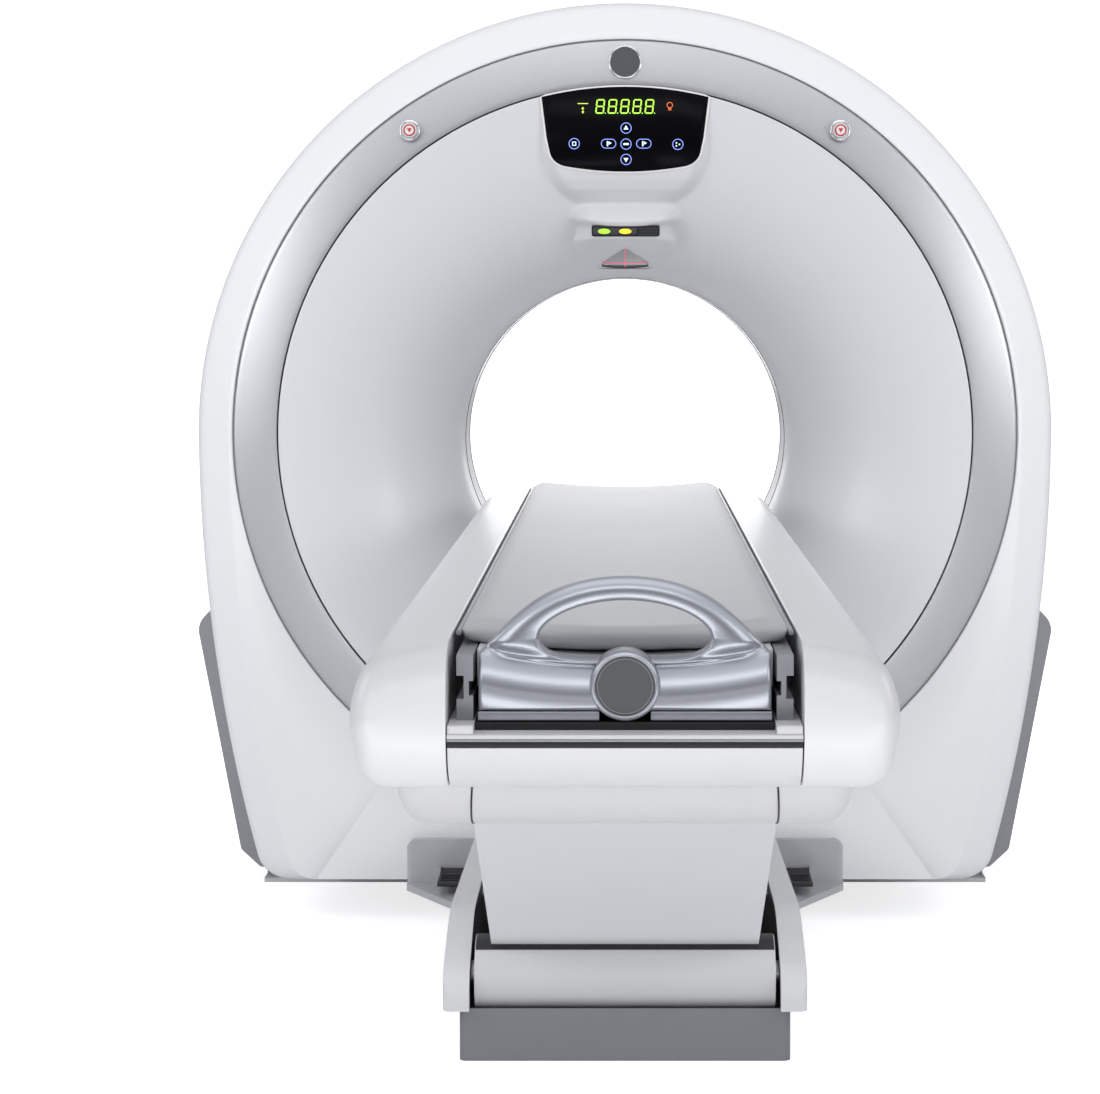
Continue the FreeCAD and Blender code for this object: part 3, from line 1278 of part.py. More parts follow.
def cradle():
    """Stiff trough with a hollowed top, closed below."""
    y0 = HANDLE_FRONT_Y + HANDLE_THICK
    y1 = PAD_HEAD_Y - 8
    top = sagged_arc(y0, CRADLE_HALF, CRADLE_EDGE_Z, CRADLE_SAG)
    points = [
        V(CRADLE_HALF, y0, CRADLE_EDGE_Z), V(CRADLE_HALF, y0, CRADLE_FOOT_Z + 22),
        V(CRADLE_FLAT_HALF, y0, CRADLE_FOOT_Z), V(-CRADLE_FLAT_HALF, y0, CRADLE_FOOT_Z),
        V(-CRADLE_HALF, y0, CRADLE_FOOT_Z + 22), V(-CRADLE_HALF, y0, CRADLE_EDGE_Z),
    ]
    edges = [top] + [line(points[i], points[i + 1]) for i in range(5)]
    return Part.Face(Part.Wire(edges)).extrude(V(0, y1 - y0, 0))


def trough_rise(x):
    """Height of the trough's hollowed top over its middle, at x from the centre."""
    r = (CRADLE_HALF ** 2 + CRADLE_SAG ** 2) / (2 * CRADLE_SAG)
    return r - math.sqrt(r * r - x * x)


def pad_section(y, shrink):
    """Pad's cross-section: follows the trough, with rounded drawn-in edges."""
    half = PAD_HALF - 6 - shrink
    low_middle = CRADLE_EDGE_Z - CRADLE_SAG + SLIDE_GAP + shrink * 0.45
    low = low_middle + trough_rise(half)
    high = CRADLE_EDGE_Z + PAD_EDGE + 2 - shrink * 0.45
    middle = (low + high) / 2
    bulge = 6.0
    left_low = V(-half, y, low)
    right_low = V(half, y, low)
    left_high = V(-half, y, high)
    right_high = V(half, y, high)
    edges = [
        arc(left_low, V(0, y, low_middle), right_low),
        arc(right_low, V(half + bulge, y, middle), right_high),
        arc(right_high, V(0, y, high - CRADLE_SAG + 2), left_high),
        arc(left_high, V(-half - bulge, y, middle), left_low),
    ]
    return Part.Wire(edges)


def table_pad():
    """Long thin mattress, hollowed like the trough, with rounded ends."""
    y0 = PAD_FOOT_Y
    y1 = PAD_HEAD_Y
    r = PAD_END_ROUND
    stations = [(y0, 14), (y0 + r * 0.25, 7), (y0 + r, 0), (y1 - r, 0), (y1 - r * 0.25, 7), (y1, 14)]
    return loft([pad_section(y, shrink) for y, shrink in stations])


def grip_opening(y0, y1):
    """Lens-shaped opening: a high arc above, round ends and a flat foot."""
    low_x = GRIP_HALF - 30
    turn_x = GRIP_HALF - 5
    turn_z = (GRIP_FOOT_Z + GRIP_WIDE_Z) / 2 - 3

    def at(x, z):
        return V(x, y0, z)

    edges = [
        arc(at(-GRIP_HALF, GRIP_WIDE_Z), at(0, GRIP_TOP_Z), at(GRIP_HALF, GRIP_WIDE_Z)),
        arc(at(GRIP_HALF, GRIP_WIDE_Z), at(turn_x, turn_z), at(low_x, GRIP_FOOT_Z)),
        line(at(low_x, GRIP_FOOT_Z), at(-low_x, GRIP_FOOT_Z)),
        arc(at(-low_x, GRIP_FOOT_Z), at(-turn_x, turn_z), at(-GRIP_HALF, GRIP_WIDE_Z)),
    ]
    return Part.Face(Part.Wire(edges)).extrude(V(0, y1 - y0, 0))


def handle():
    """Moulded push handle: an arch with a grip opening over a rounded block with a round boss."""
    half = HANDLE_HALF
    y0 = HANDLE_FRONT_Y + HANDLE_LEAN
    y1 = HANDLE_FRONT_Y + HANDLE_THICK
    shoulder = HANDLE_SHOULDER_Z
    foot = HANDLE_FOOT_Z
    edges = [
        line(V(-half, y0, foot), V(half, y0, foot)),
        line(V(half, y0, foot), V(half, y0, shoulder)),
        arc(V(half, y0, shoulder), V(0, y0, HANDLE_TOP_Z), V(-half, y0, shoulder)),
        line(V(-half, y0, shoulder), V(-half, y0, foot)),
    ]
    arch = Part.Face(Part.Wire(edges)).extrude(V(0, y1 - y0, 0)).cut(grip_opening(y0 - 1, y1 + 1))
    front_y = HANDLE_FRONT_Y
    block = prism_x([
        (y0 + 12, foot, 0),
        (front_y + 4, foot, 6),
        (front_y - 1, (foot + BLOCK_TOP_Z) / 2, 44),
        (front_y + 4, BLOCK_TOP_Z - 8, 10),
        (y0 + 12, BLOCK_TOP_Z, 0),
    ], -half, half)
    boss = rod_y(BOSS_R, front_y - BOSS_PROUD, y0 + 10, 0, DISC_Z)
    recess = rod_y(DISC_R + 0.2, front_y - BOSS_PROUD - 1, front_y - BOSS_PROUD + DISC_THICK, 0, DISC_Z)
    return fused([arch, block, boss]).cut(recess)


# ---------------------------------------------------------------- foot pedals

def pedal_housing(side):
    """Open corner box beside the base: floor, back wall, outer wall and pedal ears."""
    x0 = SIDE_COVER_REAR_X - 4
    x1 = PEDAL_BOX_OUTER_X
    rear = PEDAL_BOX_REAR_Y
    floor_z = PEDAL_BOX_FLOOR_Z
    top = PEDAL_BOX_TOP_Z
    wall = PEDAL_BOX_WALL
    plan = [(x0, rear, 0), (x1, rear, 16), (x1, PEDAL_BOX_SIDE_Y - 6, 10), (x0, PEDAL_BOX_FRONT_Y, 0)]
    floor = prism_z(plan, floor_z, floor_z + PEDAL_BOX_FLOOR)
    back = prism_z([(x0, rear, 0), (x1, rear, 16), (x1, rear - wall - 14, 10), (x0, rear - wall, 0)], floor_z, top)
    corner = prism_y([(x0, floor_z, 0), (x1, floor_z, 10), (x1, top, 18), (x0, top, 0)], rear - 90, rear + 1)
    shapes = [floor, back.common(corner)]
    for x in (PEDAL_X - PEDAL_WIDTH / 2 - 9, PEDAL_X + PEDAL_WIDTH / 2 + 1):
        shapes.append(box(x, x + 8, PEDAL_PIVOT_Y - 10, rear - wall / 2, floor_z, PEDAL_PIVOT_Z + 10))
    shape = fused(shapes)
    axle = rod_x(PEDAL_AXLE_R, PEDAL_X - PEDAL_WIDTH / 2 - 9, PEDAL_X + PEDAL_WIDTH / 2 + 9, PEDAL_PIVOT_Y, PEDAL_PIVOT_Z)
    shape = shape.cut(prism_z([
        (0, SIDE_COVER_NOSE_Y, 0), (0, 0, 0), (side_cover_x(0), 0, 0), (SIDE_COVER_FRONT_X, SIDE_COVER_NOSE_Y, 0),
    ], 0, 400))
    shape = shape.fuse(axle).removeSplitter()
    return shape if side > 0 else mirrored(shape)


def side_cover_x(y):
    """Outer face of the base's side cover at one place along the table."""
    share = (y - SIDE_COVER_NOSE_Y) / (BASE_REAR_Y - SIDE_COVER_NOSE_Y)
    return SIDE_COVER_FRONT_X + (SIDE_COVER_REAR_X - SIDE_COVER_FRONT_X) * share


def pedal(side):
    """Foot lever with a hub on the housing's axle and a ribbed tread."""
    half = PEDAL_WIDTH / 2
    y = PEDAL_PIVOT_Y
    z = PEDAL_PIVOT_Z
    tread = prism_x([
        (y, z - PEDAL_THICK / 2, 0), (y, z + PEDAL_THICK / 2, 0),
        (y - PEDAL_LENGTH, z + PEDAL_THICK / 2, 3), (y - PEDAL_LENGTH, z - PEDAL_THICK / 2, 3),
    ], PEDAL_X - half, PEDAL_X + half)
    hub = rod_x(PEDAL_AXLE_R + 4, PEDAL_X - half, PEDAL_X + half, y, z)
    shape = fused([tread, hub])
    for i in range(4):
        rib_y = y - PEDAL_LENGTH + 14 + 14 * i
        shape = shape.fuse(box(PEDAL_X - half + 5, PEDAL_X + half - 5, rib_y, rib_y + 4, z, z + PEDAL_THICK / 2 + 2))
    shape = shape.removeSplitter().cut(rod_x(PEDAL_AXLE_R + SHAFT_GAP, PEDAL_X - half - 1, PEDAL_X + half + 1, y, z))
    return shape if side > 0 else mirrored(shape)


# ---------------------------------------------------------------- writing the parts


def group(shapes):
    """Like pieces that share one node as separate solids."""
    return Part.makeCompound(list(shapes))


def both(make):
    return group([make(-1), make(1)])


def cover_parts():
    yield "front_cover", front_cover()
    yield "front_ring", front_ring()
    lens = laser_window()
    yield "front_funnel", front_funnel().cut(lens)
    yield "rear_funnel", rear_funnel()
    yield "scan_window", scan_window()
    yield "middle_cover", middle_cover()
    yield "rear_cover", rear_cover()
    yield "console_housing", group([console_housing(), laser_hood().cut(lens)])
    yield "display_panel", display_panel()
    yield "light_bar", light_bar()
    yield "laser_window", lens
    yield "stop_bezels", group(stop_bezel(x, z) for x, z in stop_places())
    for (word, side), (x, z) in zip(SIDES, stop_places()):
        yield "stop_button_" + word, stop_button(x, z)


def stand_parts():
    yield "columns", both(lambda side: fused([column(side), arm(side)]))
    yield "column_covers", both(side_cover)
    yield "tilt_gearbox", tilt_gearbox()
    yield "trunnion_cap", trunnion_cap()
    yield "gantry_floor_plate", gantry_floor_plate()


def rotor_parts():
    yield "tilt_frame", tilt_frame()
    yield "bearing_outer_ring", bearing_outer()
    yield "bearing_inner_ring", bearing_inner()
    yield "slip_ring", slip_ring()
    yield "brush_block", brush_block()
    yield "rotor_drum", rotor_drum()
    yield "tube_housing", group([xray_tube(), collimator()])
    yield "detector_arc", group([detector(), data_unit()])
    yield "rotor_cabinets", group(
        [rotor_module(CABINET_WIDTH, MODULE_INNER_R, CABINET_OUTER_R, CABINET_FRONT_Y, turn)
         for turn in (-90, 90)]
        + [rotor_module(LOW_CABINET_WIDTH, MODULE_INNER_R, LOW_CABINET_OUTER_R, LOW_CABINET_FRONT_Y, turn)
           for turn in (-117, 117)])
    yield "heat_exchanger", heat_exchanger(45)
    yield "counterweight", rotor_module(
        LOW_CABINET_WIDTH, WEIGHT_INNER_R, WEIGHT_OUTER_R, WEIGHT_FRONT_Y, -45)
    yield "drive_motor", drive_motor()
    yield "motor_pulley", motor_pulley()
    yield "drive_belt", drive_belt()


def base_parts():
    yield "cable_duct", cable_duct()
    yield "table_base_frame", table_base_frame()
    yield "table_plinth", plinth()
    yield "base_side_covers", both(base_side_cover)
    half = SIDE_PLATE_X + SIDE_PLATE
    yield "hinge_shafts", group([
        pivot_shaft(PIVOT_R, half, LOW_PIVOT_Y, LOW_PIVOT_Z),
        pivot_shaft(LINK_PIVOT_R, half, LINK_LOW_Y, LINK_LOW_Z),
    ])
    yield "pedal_housings", both(pedal_housing)
    for word, side in SIDES:
        yield "foot_pedal_" + word, pedal(side)
    yield "lift_leg", leg()
    yield "leg_drum", leg_drum()
    yield "rear_link", rear_link()


def carriage_parts():
    yield "lift_brackets", group([lift_bracket(), link_bracket()])
    yield "head_shafts", group([
        pivot_shaft(PIVOT_R, DRUM_HALF + 14, HIGH_PIVOT_Y, HIGH_PIVOT_Z),
        pivot_shaft(LINK_PIVOT_R, LINK_BAR_X + LINK_BAR + 39, LINK_HIGH_Y, LINK_HIGH_Z),
    ])
    yield "table_beam", table_beam()
    yield "top_plate", top_plate()
    yield "end_panels", group([foot_panel(), head_panel()])
    yield "lower_casing", lower_casing()
    yield "cradle_motor", cradle_motor()
    for word, side in SIDES:
        yield "table_side_cover_" + word, table_side_cover(side)
    yield "cradle_rails", both(rail)
    yield "slide_strips", both(slide_strip)
    yield "cradle_shell", cradle()
    yield "table_pad", table_pad()
    yield "push_handle", handle()
    yield "handle_badge", badge(0, DISC_Z, DISC_R, HANDLE_FRONT_Y - BOSS_PROUD + DISC_THICK, DISC_THICK)


os.makedirs("parts", exist_ok=True)
for make in (cover_parts, stand_parts, rotor_parts, base_parts, carriage_parts):
    for name, shape in make():
        save(name, shape)
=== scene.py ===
import math

import bmesh
import bpy
import numpy as np
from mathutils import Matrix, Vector


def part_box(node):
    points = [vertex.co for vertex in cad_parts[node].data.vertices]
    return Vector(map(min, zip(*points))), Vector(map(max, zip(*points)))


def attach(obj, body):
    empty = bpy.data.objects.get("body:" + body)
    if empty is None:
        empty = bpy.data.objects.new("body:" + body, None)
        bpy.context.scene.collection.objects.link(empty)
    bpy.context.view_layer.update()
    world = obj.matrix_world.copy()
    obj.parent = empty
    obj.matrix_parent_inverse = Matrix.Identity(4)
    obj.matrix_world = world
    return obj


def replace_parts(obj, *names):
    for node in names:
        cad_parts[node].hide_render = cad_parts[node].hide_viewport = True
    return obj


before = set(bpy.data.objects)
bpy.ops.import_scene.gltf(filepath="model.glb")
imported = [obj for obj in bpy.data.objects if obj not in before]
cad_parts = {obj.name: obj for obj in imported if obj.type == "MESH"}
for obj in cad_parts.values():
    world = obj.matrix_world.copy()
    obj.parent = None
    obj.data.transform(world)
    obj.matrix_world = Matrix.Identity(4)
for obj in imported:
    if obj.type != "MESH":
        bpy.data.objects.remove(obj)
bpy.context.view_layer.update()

# A computed tomography scanner. Metres; +X right, +Y into the bore, +Z up,
# with the origin on the floor under the isocentre.
ISO_Z = 1.015        # axis of the bore
FACE_Z = 1.035       # middle of the front ring and covers
FRONT_Y = -0.402     # foremost plane of the gantry
BORE_R = 0.350
WINDOW_HALF = 0.072  # half the depth of the scan window
MIRROR = np.array([-1.0, 1.0])
SIDES = ((-1, "left"), (1, "right"))


# ---- mesh helpers ----

def points(*axes):
    """Coordinates, broadcast together, as one array of points."""
    return np.stack(np.broadcast_arrays(*axes), -1)


def quarter(count):
    """Angles from 0 to 90 degrees."""
    return np.linspace(0.0, math.pi / 2, count)


def full_turn(count):
    """Angles of a full turn, without its end."""
    return np.linspace(0.0, 2 * math.pi, count, endpoint=False)


def arc_drop(share):
    """1 - sqrt(1 - s^2) with s held to 0..1: how far a quarter circle has fallen."""
    return 1.0 - np.sqrt(1.0 - np.clip(share, 0, 1) ** 2)


def smooth_step(x):
    """Cubic ease from 0 to 1."""
    x = np.clip(x, 0.0, 1.0)
    return x * x * (3 - 2 * x)


def grid_faces(rows, columns, closed_rows, closed_columns):
    """Quads between neighbouring points of a rows by columns grid, wrapped round where it is closed."""
    i = np.arange(rows if closed_rows else rows - 1)[:, None]
    j = np.arange(columns if closed_columns else columns - 1)[None, :]
    i2 = (i + 1) % rows
    j2 = (j + 1) % columns
    corners = (i * columns + j, i2 * columns + j, i2 * columns + j2, i * columns + j2)
    return points(*corners).reshape(-1, 4)


def new_piece(name, places, faces, body, slot, material, smooth=True):
    """Mesh object from an array of points and a list of faces, riding on its body."""
    mesh = bpy.data.meshes.new(name)
    mesh.from_pydata(np.asarray(places, float).reshape(-1, 3).tolist(), [], [list(map(int, f)) for f in faces])
    mesh.validate()
    mesh.polygons.foreach_set("use_smooth", [smooth] * len(mesh.polygons))
    mesh.materials.append(material)
    obj = bpy.data.objects.new(name, mesh)
    bpy.context.scene.collection.objects.link(obj)
    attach(obj, body)
    return obj


def edited(obj, change):
    """Runs one change on a piece's mesh as a bmesh."""
    work = bmesh.new()
    work.from_mesh(obj.data)
    change(work)
    work.to_mesh(obj.data)
    work.free()
    return obj


def outward(obj):
    """Merges a closed mesh's doubles and turns its faces outwards."""
    def change(work):
        bmesh.ops.remove_doubles(work, verts=work.verts, dist=1e-6)
        bmesh.ops.recalc_face_normals(work, faces=work.faces)
    return edited(obj, change)


def sharpen(obj, degrees=40.0):
    """Marks edges sharper than the angle, so that flats stay flat under smooth shading."""
    def change(work):
        limit = math.radians(degrees)
        for edge in work.edges:
            edge.smooth = len(edge.link_faces) != 2 or edge.calc_face_angle(0.0) < limit
    return edited(obj, change)


def sheet(name, grid, wall, closed, *look):
    """Grid of points as one smooth sheet, thickened away from its outward side."""
    obj = new_piece(name, grid, grid_faces(*grid.shape[:2], False, closed), *look)
    thick = obj.modifiers.new("wall", "SOLIDIFY")
    thick.thickness = wall
    thick.offset = -1.0
    return obj


def closed_loft(name, rings, *look):
    """Stack of closed rings of equal length with both ends filled."""
    rows, columns = rings.shape[:2]
    faces = grid_faces(rows, columns, False, True).tolist()
    faces.append(list(range(columns))[::-1])
    faces.append([(rows - 1) * columns + k for k in range(columns)])
    return outward(new_piece(name, rings, faces, *look))


def turned(name, section, centre, count, *look):
    """Surface of revolution about an axis along y: x = cx + r sin a, z = cz + r cos a."""
    section = np.array(section)
    a = np.linspace(0.0, -2 * math.pi, count, endpoint=False)[None, :]
    r = section[:, 0][:, None]
    x = centre[0] + r * np.sin(a)
    grid = points(x, section[:, 1][:, None], centre[1] + r * np.cos(a))
    return outward(new_piece(name, grid, grid_faces(len(section), count, True, True), *look))


def grown(outline, distance):
    """Outline moved outwards by a distance along the average of its neighbouring edges' normals."""
    if not distance:
        return outline
    ahead = np.roll(outline, -1, 0) - np.roll(outline, 1, 0)
    normal = points(ahead[:, 1], -ahead[:, 0])
    normal /= np.linalg.norm(normal, axis=1)[:, None]
    area = np.sum(outline[:, 0] * np.roll(outline[:, 1], -1) - np.roll(outline[:, 0], -1) * outline[:, 1])
    return outline + normal * distance * np.sign(area)


def facing(outline, y):
    """Outline of (x, z) points on the plane y."""
    return points(outline[:, 0], y, outline[:, 1])


def layered(name, outline, layers, place, *look):
    """Solid through copies of an outline, from layers of (growth, level); place(outline, level) gives the points."""
    rings = [place(grown(outline, growth), level) for growth, level in layers]
    return sharpen(closed_loft(name, np.array(rings), *look))


def across(name, outline, x0, x1, edge, *look):
    """Side-view outline (y, z) carried straight across from x0 to x1, with its ends bevelled by the edge."""
    layers = ((0.0, x0), (0.0, x1))
    if edge:
        layers = ((-edge, x0), (0.0, x0 + edge), (0.0, x1 - edge), (-edge, x1))
    return layered(name, outline, layers, lambda flat, x: np.insert(flat, 0, x, axis=1), *look)


def rounded_outline(corners, count=10):
    """Closed outline through corners (x, z, radius); each rounding is a quadratic curve about its corner."""
    curves = []
    for k, (_, _, radius) in enumerate(corners):
        before, here, after = (np.array(corners[(k + d) % len(corners)][:2], float) for d in (-1, 0, 1))
        a = here + (before - here) / np.linalg.norm(before - here) * radius
        b = here + (after - here) / np.linalg.norm(after - here) * radius
        s = np.linspace(0.0, 1.0, count)[:, None]
        curves.append(a * (1 - s) ** 2 + here * 2 * s * (1 - s) + b * s ** 2)
    return np.concatenate(curves)


def box_outline(u0, v0, u1, v1, radii, count=4):
    """Rounded box; its corners' radii are given from (u0, v0) by way of (u1, v0)."""
    places = ((u0, v0), (u1, v0), (u1, v1), (u0, v1))
    return rounded_outline([(*place, radius) for place, radius in zip(places, radii)], count)


def round_ended(cx, cz, half_x, half_z, count=40):
    """Round-ended outline: x = cx +- straight + half_z cos a, z = cz + half_z sin a."""
    a = full_turn(count) + math.pi / count
    straight = max(half_x - half_z, 0.0)
    x = cx + np.sign(np.cos(a)) * straight + half_z * np.cos(a)
    return points(x, cz + half_z * np.sin(a))


def ray_outline(outline, centre, angles):
    """Radius at which a ray from the centre meets a closed outline that is star-shaped about it."""
    edge = outline - np.array(centre)
    turn = np.unwrap(np.arctan2(edge[:, 1], edge[:, 0]))
    if turn[-1] < turn[0]:
        turn, edge = turn[::-1], edge[::-1]
    radius = np.linalg.norm(edge, axis=1)
    wrapped = turn[0] + (angles - turn[0]) % (2 * math.pi)
    return np.interp(wrapped, np.append(turn, turn[0] + 2 * math.pi), np.append(radius, radius[0]))


# ---- shader node groups ----

def add_node(tree, kind, inputs, output=0, **settings):
    """Adds a shader node, links or sets its inputs, and returns one of its outputs."""
    node = tree.nodes.new("ShaderNode" + kind)
    for label, value in settings.items():
        setattr(node, label, value)
    for key, value in inputs.items():
        if isinstance(value, bpy.types.NodeSocket):
            tree.links.new(value, node.inputs[key])
        else:
            node.inputs[key].default_value = value
    return node.outputs[output]


def times(tree, a, b):
    return add_node(tree, "Math", {0: a, 1: b}, operation="MULTIPLY")


def plus(tree, a, b):
    return add_node(tree, "Math", {0: a, 1: b}, operation="ADD")


def noise(tree, vector, scale, detail=3.0, roughness=0.5):
    inputs = {"Detail": detail, "Roughness": roughness, "Scale": scale, "Vector": vector}
    return add_node(tree, "TexNoise", inputs, "Fac")


def mix_colour(tree, factor, a, b):
    return add_node(tree, "Mix", {0: factor, 6: a, 7: b}, 2, data_type="RGBA")


def effect_group(name, inputs, effect):
    """Node group from named inputs to Colour, Roughness and Height, worked out by effect(tree, given, place)."""
    tree = bpy.data.node_groups.new(name, "ShaderNodeTree")
    for label, kind, value in inputs:
        socket = tree.interface.new_socket(label, in_out="INPUT", socket_type="NodeSocket" + kind)
        socket.default_value = value
    for label, kind in (("Colour", "Color"), ("Roughness", "Float"), ("Height", "Float")):
        tree.interface.new_socket(label, in_out="OUTPUT", socket_type="NodeSocket" + kind)
    given = tree.nodes.new("NodeGroupInput").outputs
    results = effect(tree, given, add_node(tree, "TexCoord", {}, "Object"))
    for value, socket in zip(results, tree.nodes.new("NodeGroupOutput").inputs):
        tree.links.new(value, socket)
    return tree


def moulded(tree, given, place):
    """Moulded or painted skin: faint colour clouding, small changes of gloss, and fine orange peel."""
    clouds = times(tree, noise(tree, place, 2.3, 4.0), given["Clouding"])
    smears = add_node(tree, "Math", {0: noise(tree, place, 9.0, 5.0, 0.6), 1: 0.5}, operation="SUBTRACT")
    gloss = plus(tree, given["Roughness"], times(tree, smears, given["Gloss Change"]))
    colour = mix_colour(tree, clouds, given["Colour"], (0.0, 0.0, 0.0, 1.0))
    return colour, gloss, noise(tree, place, given["Peel Scale"], 2.0)


def brushed(tree, given, place):
    """Machined or brushed metal: streaks along one axis change colour, gloss and height."""
    scaled = add_node(tree, "VectorMath", {0: place, 1: given["Stretch"]}, operation="MULTIPLY")
    lines = noise(tree, scaled, 1.0, 3.0, 0.6)
    share = times(tree, lines, given["Streaks"])
    colour = mix_colour(tree, share, given["Colour"], (0.02, 0.02, 0.025, 1.0))
    return colour, plus(tree, given["Roughness"], share), lines


def coated(tree, given, place):
    """Coated mattress cloth: fine pebble grain, faint long creases and clouded colour."""
    grain = add_node(tree, "TexVoronoi", {"Scale": 620.0, "Vector": place}, "Distance")
    creases = noise(tree, place, 5.0, 3.0, 0.55)
    clouds = times(tree, noise(tree, place, 1.7), 0.07)
    colour = mix_colour(tree, clouds, given["Colour"], (0.25, 0.26, 0.28, 1.0))
    gloss = plus(tree, given["Roughness"], times(tree, creases, 0.08))
    return colour, gloss, plus(tree, times(tree, grain, 0.25), times(tree, creases, 0.8))


MOULDED = effect_group(
    "moulded_skin",
    [("Colour", "Color", (0.8, 0.8, 0.8, 1)), ("Clouding", "Float", 0.02), ("Roughness", "Float", 0.35),
     ("Gloss Change", "Float", 0.06), ("Peel Scale", "Float", 300.0)], moulded)
BRUSHED = effect_group(
    "brushed_metal",
    [("Colour", "Color", (0.6, 0.6, 0.6, 1)), ("Roughness", "Float", 0.3),
     ("Stretch", "Vector", (400.0, 8.0, 400.0)), ("Streaks", "Float", 0.12)], brushed)
COATED = effect_group(
    "coated_cloth", [("Colour", "Color", (0.6, 0.6, 0.6, 1)), ("Roughness", "Float", 0.5)], coated)


def finish_material(name, group, colour, values, shader, bump):
    """Material of one finish: the group's outputs into a Principled shader, with its own plain values."""
    material = bpy.data.materials.new(name)
    material.use_nodes = True
    tree = material.node_tree
    principled = tree.nodes["Principled BSDF"].inputs
    effect = tree.nodes.new("ShaderNodeGroup")
    effect.node_tree = group
    for inputs, given in ((principled, shader), (effect.inputs, {"Colour": (*colour, 1.0), **values})):
        for label, value in given.items():
            inputs[label].default_value = value
    height = {"Strength": bump[0], "Distance": bump[1], "Height": effect.outputs["Height"]}
    tree.links.new(effect.outputs["Colour"], principled["Base Color"])
    tree.links.new(effect.outputs["Roughness"], principled["Roughness"])
    tree.links.new(add_node(tree, "Bump", height), principled["Normal"])
    return material


def plastic(name, colour, roughness, coat=0.0, clouding=0.02, ior=1.48):
    return finish_material(
        name, MOULDED, colour, {"Roughness": roughness, "Clouding": clouding, "Peel Scale": 300.0},
        {"Coat Weight": coat, "Coat Roughness": 0.12, "IOR": ior}, (0.12, 0.0004))


def paint(name, colour, roughness, metallic=0.0, coat=0.0, peel=500.0):
    return finish_material(
        name, MOULDED, colour, {"Roughness": roughness, "Clouding": 0.04, "Peel Scale": peel},
        {"Metallic": metallic, "Coat Weight": coat, "Coat Roughness": 0.1}, (0.2, 0.0004))


def metal(name, colour, roughness, streaks=0.12):
    return finish_material(
        name, BRUSHED, colour, {"Roughness": roughness, "Streaks": streaks}, {"Metallic": 1.0}, (0.08, 0.0003))


def glowing(name, colour, strength):
    """Lit mark behind black glass."""
    material = plastic(name, colour, 0.4)
    principled = material.node_tree.nodes["Principled BSDF"].inputs
    principled["Emission Color"].default_value = (*colour, 1.0)
    principled["Emission Strength"].default_value = strength
    return material


SHELL_WHITE = plastic("shell_white", (0.80, 0.805, 0.82), 0.42, coat=0.15)
SHELL_PALE = plastic("shell_pale_grey", (0.66, 0.665, 0.685), 0.40, coat=0.15)
RING_SILVER = paint("ring_silver", (0.52, 0.53, 0.55), 0.38, metallic=0.88, coat=0.1)
COVER_GREY = paint("cover_grey", (0.31, 0.315, 0.335), 0.50)
HOUSING_GREY = plastic("pedal_housing_grey", (0.42, 0.425, 0.45), 0.45)
TABLE_WHITE = plastic("table_cover_white", (0.67, 0.672, 0.685), 0.40, coat=0.15)
PANEL_WHITE = paint("panel_white", (0.61, 0.612, 0.625), 0.45)
CREAM_STRIP = plastic("cream_strip", (0.60, 0.60, 0.60), 0.40)
RAIL_GREY = paint("rail_grey", (0.26, 0.265, 0.29), 0.40, metallic=0.2)
HANDLE_SILVER = paint("handle_silver", (0.38, 0.395, 0.435), 0.34, metallic=0.75, coat=0.15, peel=700.0)
PLINTH_GREY = paint("plinth_grey", (0.205, 0.21, 0.228), 0.45, metallic=0.1)
DISC_GREY = paint("disc_grey", (0.075, 0.077, 0.082), 0.55)
GLASS_BLACK = plastic("display_black", (0.003, 0.003, 0.004), 0.16, clouding=0.0, ior=1.12)
LENS_GREY = plastic("lens_grey", (0.30, 0.31, 0.33), 0.15, coat=0.5)
TRIM_BLACK = plastic("trim_black", (0.012, 0.012, 0.013), 0.5)
TRIM_DARK = plastic("trim_dark_grey", (0.06, 0.062, 0.068), 0.42)
WINDOW_FILM = plastic("window_film", (0.62, 0.625, 0.64), 0.35, coat=0.2)
CHROME = metal("polished_trim", (0.78, 0.78, 0.80), 0.12, streaks=0.03)
STEEL = metal("machined_steel", (0.56, 0.57, 0.58), 0.30)
ALUMINIUM = metal("machined_aluminium", (0.72, 0.73, 0.74), 0.34)
FRAME_PAINT = paint("frame_paint", (0.30, 0.315, 0.34), 0.45)
CAST_PAINT = paint("cast_paint", (0.24, 0.25, 0.27), 0.55, peel=160.0)
RUBBER = plastic("belt_rubber", (0.015, 0.015, 0.016), 0.7)
PAD_CLOTH = finish_material("pad_cloth", COATED, (0.44, 0.444, 0.455), {"Roughness": 0.48},
                            {"Coat Weight": 0.1, "Coat Roughness": 0.3}, (0.25, 0.0008))
BUTTON_WHITE = plastic("button_white", (0.80, 0.78, 0.78), 0.35)
BUTTON_RED = plastic("button_red", (0.50, 0.035, 0.045), 0.35)
DIGIT_GREEN = glowing("digit_green", (0.38, 0.78, 0.06), 1.1)
MARK_YELLOW = glowing("mark_yellow", (0.62, 0.72, 0.10), 0.7)
MARK_ORANGE = glowing("mark_orange", (0.75, 0.16, 0.05), 0.6)
KEY_BLUE = glowing("key_blue", (0.22, 0.32, 0.85), 0.8)
KEY_PALE = glowing("key_pale_blue", (0.62, 0.74, 0.98), 0.8)
LAMP_GREEN = glowing("lamp_green", (0.40, 0.72, 0.05), 0.7)
LAMP_YELLOW = glowing("lamp_yellow", (0.90, 0.68, 0.04), 0.7)
CROSS_RED = glowing("cross_red", (0.80, 0.04, 0.12), 0.7)

